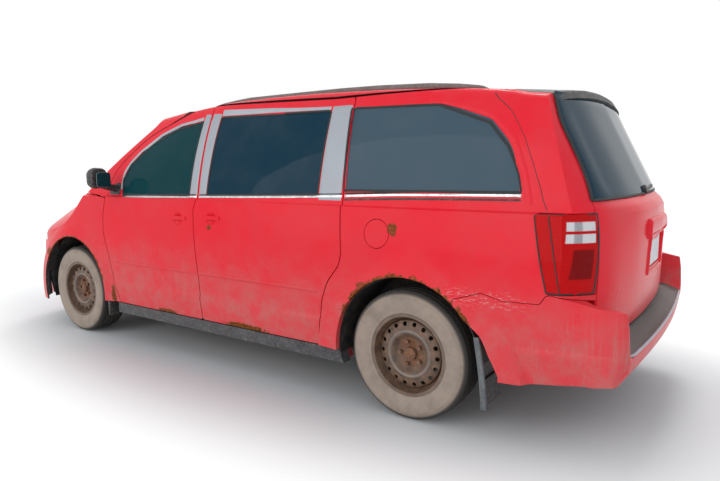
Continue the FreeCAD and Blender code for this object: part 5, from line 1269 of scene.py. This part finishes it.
def side_mouldings():
    """Body-coloured protection strips on the doors, and their shadow lines."""
    look = side_look()
    runs = (("front", "front_door_{side}", (1.040, 0.6385), (0.111, 0.6385)),
            ("sliding", "shell", (0.086, 0.6385), (-0.917, 0.6385)))
    for tag, body, start, end in runs:
        path = along_line((start, end), 80)
        both_sides(f"side_moulding_{tag}", body, "red_paint", red_paint,
                   strip(look, path - (0, 0.0125), path + (0, 0.0125), 0.0065, crown=4))


GLASS_HALF = ((1.16, 1.18, 1.22, 1.28, 1.34, 1.40, 1.46, 1.52, 1.56, 1.60, 1.66, 1.70),
              (0.794, 0.786, 0.772, 0.754, 0.744, 0.740, 0.738, 0.734, 0.722, 0.703, 0.668, 0.650))


def rear_trim():
    """Seals, seams and the plate at the back."""
    look = rear_look()
    tail = TailLook(look)
    up = np.linspace(1.176, 1.684, 80)
    half = np.interp(up, *eased(*GLASS_HALF, 0.05))
    near, far = np.stack([half, up], 1), np.stack([-half, up], 1)
    make_piece("rear_glass_face", "liftgate", "tinted_glass", privacy_glass,
               *strip(tail, far, near, 0.0060, crown=60, columns=61))
    across = np.linspace(half[0], -half[0], 90)
    edge = np.vstack([near[::-1], np.stack([across, np.full(90, up[0])], 1)[1:-1], far])
    make_piece("rear_glass_seal", "liftgate", "black_plastic", seal_rubber,
               *band(tail, edge, 0.012, 0.0074, 460, False, 2, 4))
    plate_x = -2.4755
    plate = pad_form((plate_x - 0.0034, 0, 0.879), (0.0018, 0.1525, 0.076), 0.10, 24, 64)
    make_piece("number_plate", "liftgate", None, plate_enamel, *plate)
    screws = [pad_form((plate_x - 0.0066, y, 0.938), (0.0030, 0.0070, 0.0070), 0.8, 12, 20)
              for y in (-0.0889, 0.0889)]
    make_piece("plate_screws", "liftgate", "engine_metal", bright_trim, *joined(*screws))
    brow = rounded_line(((-0.268, 0.990), (-0.240, 1.014), (0.240, 1.014), (0.268, 0.990)), 120, False, 4)
    make_piece("plate_brow", "liftgate", "red_paint", red_paint,
               *strip(look, brow - (0, 0.038), brow + (0, 0.046), 0.020, crown=4))
    ring = ((-0.205, 0.772), (0.205, 0.772), (0.205, 0.962), (-0.205, 0.962))
    make_piece("plate_frame", "liftgate", "red_paint", red_paint,
               *band(look, ring, 0.024, 0.0090, 260, True, 4, 3))
    y = np.linspace(-0.868, 0.868, 120)
    rim = np.stack([TAIL + 0.056 * (y / 1.006) ** 2 + 0.0072 + 0.025 * smooth((np.abs(y) - 0.77) / 0.12), y,
                    np.full(120, RIM_Z + 0.002)], 1)
    make_piece("bumper_rim", "shell", "black_plastic", grey_strip, *pipe(rim, 0.0068, 16))


def swept(sections, count=48):
    """A closed piece through like sections of (x, y, z) marks, each with its corners eased."""
    rows = np.stack([rounded_line(marks, count, True, 2) for marks in sections])
    return rows, grid_faces(len(rows), count)


def tail_spoiler():
    """The spoiler: a cap over the roof's end and the top of the gate that stands off their skin
    towards its lip. Rays towards a line under the roof's end find the skin."""
    tree = tree_of(("roof", "liftgate", "quarter_left", "quarter_right"))
    stations = np.linspace(-0.672, 0.672, 71)
    share = np.linspace(0, 1, 30)
    rows = []
    for y in stations:
        last = 26 - 9 * (y / 0.69) ** 2
        for angle in np.radians(118 + (last - 118) * share):
            way = Vector((-math.cos(angle), 0, math.sin(angle)))
            start = Vector((-1.98, y, 1.56)) + way * 0.6
            hit = tree.ray_cast(start, -way)[0]
            rows.append((*(hit or start - way * 0.38), way.x, way.z))
    rows = np.array(rows).reshape(len(stations), len(share), 5)
    low = np.minimum(np.abs(np.linspace(-1, 1, len(stations))) ** 8, 1)
    out = (0.004 + 0.018 * share[None, :] ** 2) * (1 - 0.85 * low[:, None])
    skin = formed(rows[..., :3])
    way = np.stack([rows[..., 3], 0 * rows[..., 3], rows[..., 4]], -1)
    outer = skin + way * out[..., None]
    inner = (skin - way * 0.003)[:, ::-1]
    points = np.concatenate([outer, inner], 1)
    spoiler = make_piece("tail_spoiler", "liftgate", "black_plastic", black_trim, points,
                         grid_faces(len(stations), points.shape[1]), 50)
    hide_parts("spoiler")


def flap_edges():
    """The thick outer edges of the rear mud flaps."""
    sections = []
    for share in np.linspace(0, 1, 40):
        x, z = -1.862 - 0.045 * share - 0.006 * math.sin(math.pi * share), 0.516 - 0.353 * share
        sections.append([(x + dx, y, z) for dx, y in ((-0.015, 0.926), (0.015, 0.926), (0.015, 0.945),
                                                     (-0.015, 0.945))])
    both_sides("flap_edge", "shell", "black_plastic", flap_edge, swept(sections, 32))


RAIL_TOP = ((-1.767, -1.713, -1.601, -1.424, -1.098, -0.846, -0.534, -0.085, 0.046, 0.173, 0.241),
            (1.726, 1.740, 1.757, 1.774, 1.788, 1.792, 1.792, 1.790, 1.781, 1.768, 1.755))


def roof_rails():
    """Two rails that hug the roof, and two bars across them."""
    look = Look((-2.00, 0.60, 0.02), (-0.74, 0.74, 0.02), 2, 2.2, ("roof",))
    x = np.linspace(-1.767, 0.241, 140)
    angle = np.linspace(0, 2 * math.pi, 20, endpoint=False)
    c, s = np.cos(angle), np.sin(angle)
    c, s = np.sign(c) * np.abs(c) ** 0.55, np.sign(s) * np.abs(s) ** 0.7
    foot = look.lift(np.stack([x, np.full(140, 0.6)], 1), np.zeros(140))[:, 2] - 0.004
    top = np.maximum(np.interp(x, *RAIL_TOP), foot + 0.010)
    ends = smooth((1 - np.abs(np.linspace(-1, 1, 140))) / 0.03) * 0.6 + 0.4
    half = ((top - foot) / 2 * ends)[:, None]
    points = np.stack([np.repeat(x[:, None], 20, 1), 0.6 + 0.016 * c[None, :] * ends[:, None],
                       foot[:, None] + half * (1 + s[None, :])], -1)
    rail = make_piece("roof_rail_left", "shell", "roof_rail", rail_grey, points, grid_faces(140, 20))
    make_piece("roof_rail_right", "shell", "roof_rail", rail_grey, flipped(points), grid_faces(140, 20))
    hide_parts("roof_rack")
    y = np.linspace(-0.588, 0.588, 60)
    bars = []
    for place in (-0.12, -1.20):
        centre = 1.778 - 0.006 * (np.abs(y) / 0.588) ** 6
        bar = np.stack([place + 0.030 * c[None, :] + 0 * y[:, None], np.repeat(y[:, None], 20, 1),
                        centre[:, None] + 0.010 * s[None, :]], -1)
        bars.append((bar, grid_faces(60, 20)))
    make_piece("roof_crossbars", "shell", "roof_rail", black_trim, *joined(*bars))


def lamp_trim():
    """Black lines round and across the tail lamps."""
    look = side_look()
    outer = ((-2.290, 1.117), (-2.151, 1.114), (-2.174, 0.930), (-2.200, 0.772), (-2.310, 0.772))
    both_sides("tail_lamp_edge", "shell", "black_plastic", seal_rubber,
               band(look, outer, 0.0075, 0.0026, 260, False, 2))
    inner = ((0.890, 1.118), (0.784, 1.119), (0.810, 0.950), (0.838, 0.773), (0.900, 0.772))
    both_sides("tail_lamp_inner_edge", "shell", "black_plastic", seal_rubber,
               band(rear_look(), inner, 0.0075, 0.0026, 260, False, 2))
    split = ((-2.216, 1.114), (-2.236, 0.950), (-2.257, 0.776))
    both_sides("tail_lamp_split", "shell", "black_plastic", seal_rubber,
               band(look, split, 0.0060, 0.0026, 90))
    seam = ((-1.842, 1.675), (-1.960, 1.580), (-2.072, 1.452), (-2.132, 1.330), (-2.172, 1.228),
            (-2.196, 1.132))
    both_sides("post_seam", "shell", "black_plastic", seal_rubber,
               band(look, seam, 0.0040, 0.0010, 160))


def mirror_faces():
    """Mirror glass in each housing."""
    for side, sign in SIDES:
        face_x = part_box("mirror_" + side)[0].x
        centre = middle("mirror_" + side)
        place = (face_x + 0.0005, centre.y + sign * 0.028, centre.z + 0.012)
        glass = pad_form(place, (0.0028, 0.056, 0.054), 0.35, 20, 44)
        make_piece("mirror_glass_" + side, BODY_OF["mirror_" + side][0], "clear_glass", mirror_glass, *glass)


def valve_stems():
    """A valve stem on each wheel."""
    for corner in CORNERS:
        centre = middle("wheel_" + corner)
        side = 1.0 if centre.y > 0 else -1.0
        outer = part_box("wheel_" + corner)[1 if side > 0 else 0].y
        root = (centre.x + 0.112, centre.z + 0.128)
        tip = (centre.x + 0.106, centre.z + 0.121)
        path = ((root[0], outer - side * 0.055, root[1]), (tip[0], outer - side * 0.022, tip[1]))
        make_piece("valve_" + corner, BODY_OF["wheel_" + corner][0], "black_plastic", seal_rubber,
                   *pipe(along_line(path, 6), 0.0038))


def steering_details():
    """Column stalks and a cover over the instruments."""
    centre = middle("steering_wheel")
    stalks = []
    for sign in (-1, 1):
        start = (centre.x + 0.055, centre.y + sign * 0.030, centre.z - 0.020)
        end = (centre.x + 0.035, centre.y + sign * 0.150, centre.z + 0.005)
        stalks.append(pipe(along_line((start, end), 8), np.linspace(0.008, 0.011, 8)))
    make_piece("column_stalks", "shell", "black_plastic", black_trim, *joined(*stalks))
    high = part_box("dashboard")[1]
    hood = pad_form((high.x - 0.235, centre.y, high.z - 0.010), (0.105, 0.190, 0.030), 0.5, 28, 56)
    make_piece("instrument_cover", "shell", "dash_plastic", dash_plastic, *hood)


# The scene's settings, steps and panel

class MinivanPaint(bpy.types.PropertyGroup):
    """Colours of the body and size of the tread."""

    paint_colour: FloatVectorProperty(
        name="Paint",
        description="Body colour where it is clean",
        default=(0.90, 0.012, 0.030),
        size=3,
        min=0.0,
        max=1.0,
        subtype="COLOR",
    )
    faded_colour: FloatVectorProperty(
        name="Faded paint",
        description="Body colour where sun and dust have dulled it",
        default=(0.84, 0.034, 0.050),
        size=3,
        min=0.0,
        max=1.0,
        subtype="COLOR",
    )
    tread_depth: FloatProperty(
        name="Tread depth",
        description="How deep the tyre grooves are",
        default=0.0065,
        min=0.001,
        max=0.009,
        unit="LENGTH",
    )


class MINIVAN_OT_dress(bpy.types.Operator):
    """Give each CAD node its smooth skin and finish"""

    bl_idname = "minivan.dress"
    bl_label = "Dress the body"

    def execute(self, context):
        for slot, outer, inner, nodes in DRESSED:
            for node in nodes.split():
                dress(node, outer, inner)
        return {"FINISHED"}


class MINIVAN_OT_tyres(bpy.types.Operator):
    """Turn the four tyres with their tread"""

    bl_idname = "minivan.tyres"
    bl_label = "Tyres"

    def execute(self, context):
        depth = context.scene.minivan_paint.tread_depth
        for corner in CORNERS:
            node = "tyre_" + corner
            points, faces = tyre_shape(middle(node), depth)
            tyre = make_piece(node + "_tread", BODY_OF[node][0], "tyre_rubber", tyre_rubber,
                              points, faces, 30)
            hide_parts(node)
        valve_stems()
        return {"FINISHED"}


class MINIVAN_OT_seats(bpy.types.Operator):
    """Pad the seats of all three rows"""

    bl_idname = "minivan.seats"
    bl_label = "Seats"

    def execute(self, context):
        y = middle("steering_wheel").y
        chairs = (("left", y), ("right", -y))
        seat_row("front_seats", "front", chairs, 0.50, (y, -y))
        seat_row("middle_seats", "middle", chairs, 0.50, (y, -y))
        seat_row("rear_seat", "rear", (("bench", 0.0),), 1.22, (0.36, -0.36))
        return {"FINISHED"}


class MINIVAN_OT_trim(bpy.types.Operator):
    """Add strips, seals, posts, mouldings and seams"""

    bl_idname = "minivan.trim"
    bl_label = "Trim"

    def execute(self, context):
        belt_trim()
        window_seals()
        post_panels()
        side_mouldings()
        rear_trim()
        tail_spoiler()
        flap_edges()
        roof_rails()
        lamp_trim()
        mirror_faces()
        steering_details()
        return {"FINISHED"}


class MINIVAN_OT_stage(bpy.types.Operator):
    """Set the floor, lights, sky and camera"""

    bl_idname = "minivan.stage"
    bl_label = "Stage"

    def execute(self, context):
        floor_piece()
        sky(context.scene)
        lamps()
        camera(context.scene)
        context.scene.view_settings.view_transform = "Standard"
        return {"FINISHED"}


class MINIVAN_PT_panel(bpy.types.Panel):
    """The minivan's settings and steps"""

    bl_idname = "MINIVAN_PT_panel"
    bl_label = "Minivan"
    bl_space_type = "VIEW_3D"
    bl_region_type = "UI"
    bl_category = "Minivan"

    def draw(self, context):
        settings = context.scene.minivan_paint
        for name in ("paint_colour", "faded_colour", "tread_depth"):
            self.layout.prop(settings, name)
        for step in STEPS:
            self.layout.operator(step.bl_idname)


STEPS = (MINIVAN_OT_dress, MINIVAN_OT_tyres, MINIVAN_OT_seats, MINIVAN_OT_trim, MINIVAN_OT_stage)


# Stage

def floor_piece():
    """A wide flat floor that shows white to the camera and in reflections, and keeps the shadow."""
    mesh = bpy.data.meshes.new("floor")
    reach = 60.0
    corners = [(-reach, -reach, 0), (reach, -reach, 0), (reach, reach, 0), (-reach, reach, 0)]
    mesh.from_pydata(corners, [], [(0, 1, 2, 3)])
    mesh.materials.append(finish_of(studio_floor))
    thing = placed("floor", mesh)


def sky(scene):
    """An even sky that lights the car; seen straight, in metal or through glass it is white."""
    world = bpy.data.worlds.new("sky")
    scene.world = world
    recipe = Recipe(world)
    light = recipe.node("ShaderNodeBackground", None, {"Color": (0.86, 0.92, 1.0, 1.0), "Strength": 0.74})
    white = recipe.node("ShaderNodeBackground", None, {"Color": (1.0, 1.0, 1.0, 1.0)})
    shown = recipe.node("ShaderNodeMixShader", None, (seen_rays(recipe), light, white))
    out = recipe.tree.nodes.new("ShaderNodeOutputWorld")
    recipe.tree.links.new(shown.socket, out.inputs["Surface"])


# Name, strength, width in radians and turn in degrees
SUNS = (("sun", 1.1, 0.35, (38, -14, 30)), ("fill", 1.0, 0.9, (76, 0, 160)))


def lamps():
    """A soft sun high on the left and a broad fill from behind the camera."""
    for name, energy, size, turn in SUNS:
        data = bpy.data.lights.new(name, "SUN")
        data.energy = energy
        data.angle = size
        placed(name, data).rotation_euler = [math.radians(value) for value in turn]


CAMERA_PLACE = (-2.95333, 3.48775, 1.34123)
CAMERA_LENS = 29.275
CAMERA_YAW, CAMERA_PITCH, CAMERA_ROLL = (math.radians(value) for value in (-55.339, -7.4075, -0.450))


def camera(scene):
    """The photograph's camera: place, direction, roll and lens."""
    yaw, pitch, roll = CAMERA_YAW, CAMERA_PITCH, CAMERA_ROLL
    ahead = Vector((math.cos(pitch) * math.cos(yaw), math.cos(pitch) * math.sin(yaw), math.sin(pitch)))
    right = Vector((math.sin(yaw), -math.cos(yaw), 0.0))
    up = right.cross(ahead)
    across = math.cos(roll) * right + math.sin(roll) * up
    above = math.cos(roll) * up - math.sin(roll) * right
    data = bpy.data.cameras.new("camera")
    data.sensor_width = 36.0
    data.lens = CAMERA_LENS
    thing = placed("camera", data)
    turn = Matrix((across, above, -ahead)).transposed().to_4x4()
    thing.matrix_world = Matrix.Translation(CAMERA_PLACE) @ turn
    scene.camera = thing


CLASSES = (MinivanPaint,) + STEPS + (MINIVAN_PT_panel,)


def register():
    """Add the settings, steps and panel."""
    for each in CLASSES:
        bpy.utils.register_class(each)
    bpy.types.Scene.minivan_paint = PointerProperty(type=MinivanPaint)


def unregister():
    """Take them away again."""
    del bpy.types.Scene.minivan_paint
    for each in reversed(CLASSES):
        bpy.utils.unregister_class(each)


def main():
    """Build the whole scene."""
    register()
    bpy.ops.minivan.dress()
    bpy.ops.minivan.tyres()
    bpy.ops.minivan.seats()
    bpy.ops.minivan.trim()
    bpy.ops.minivan.stage()


if __name__ == "__main__":
    main()
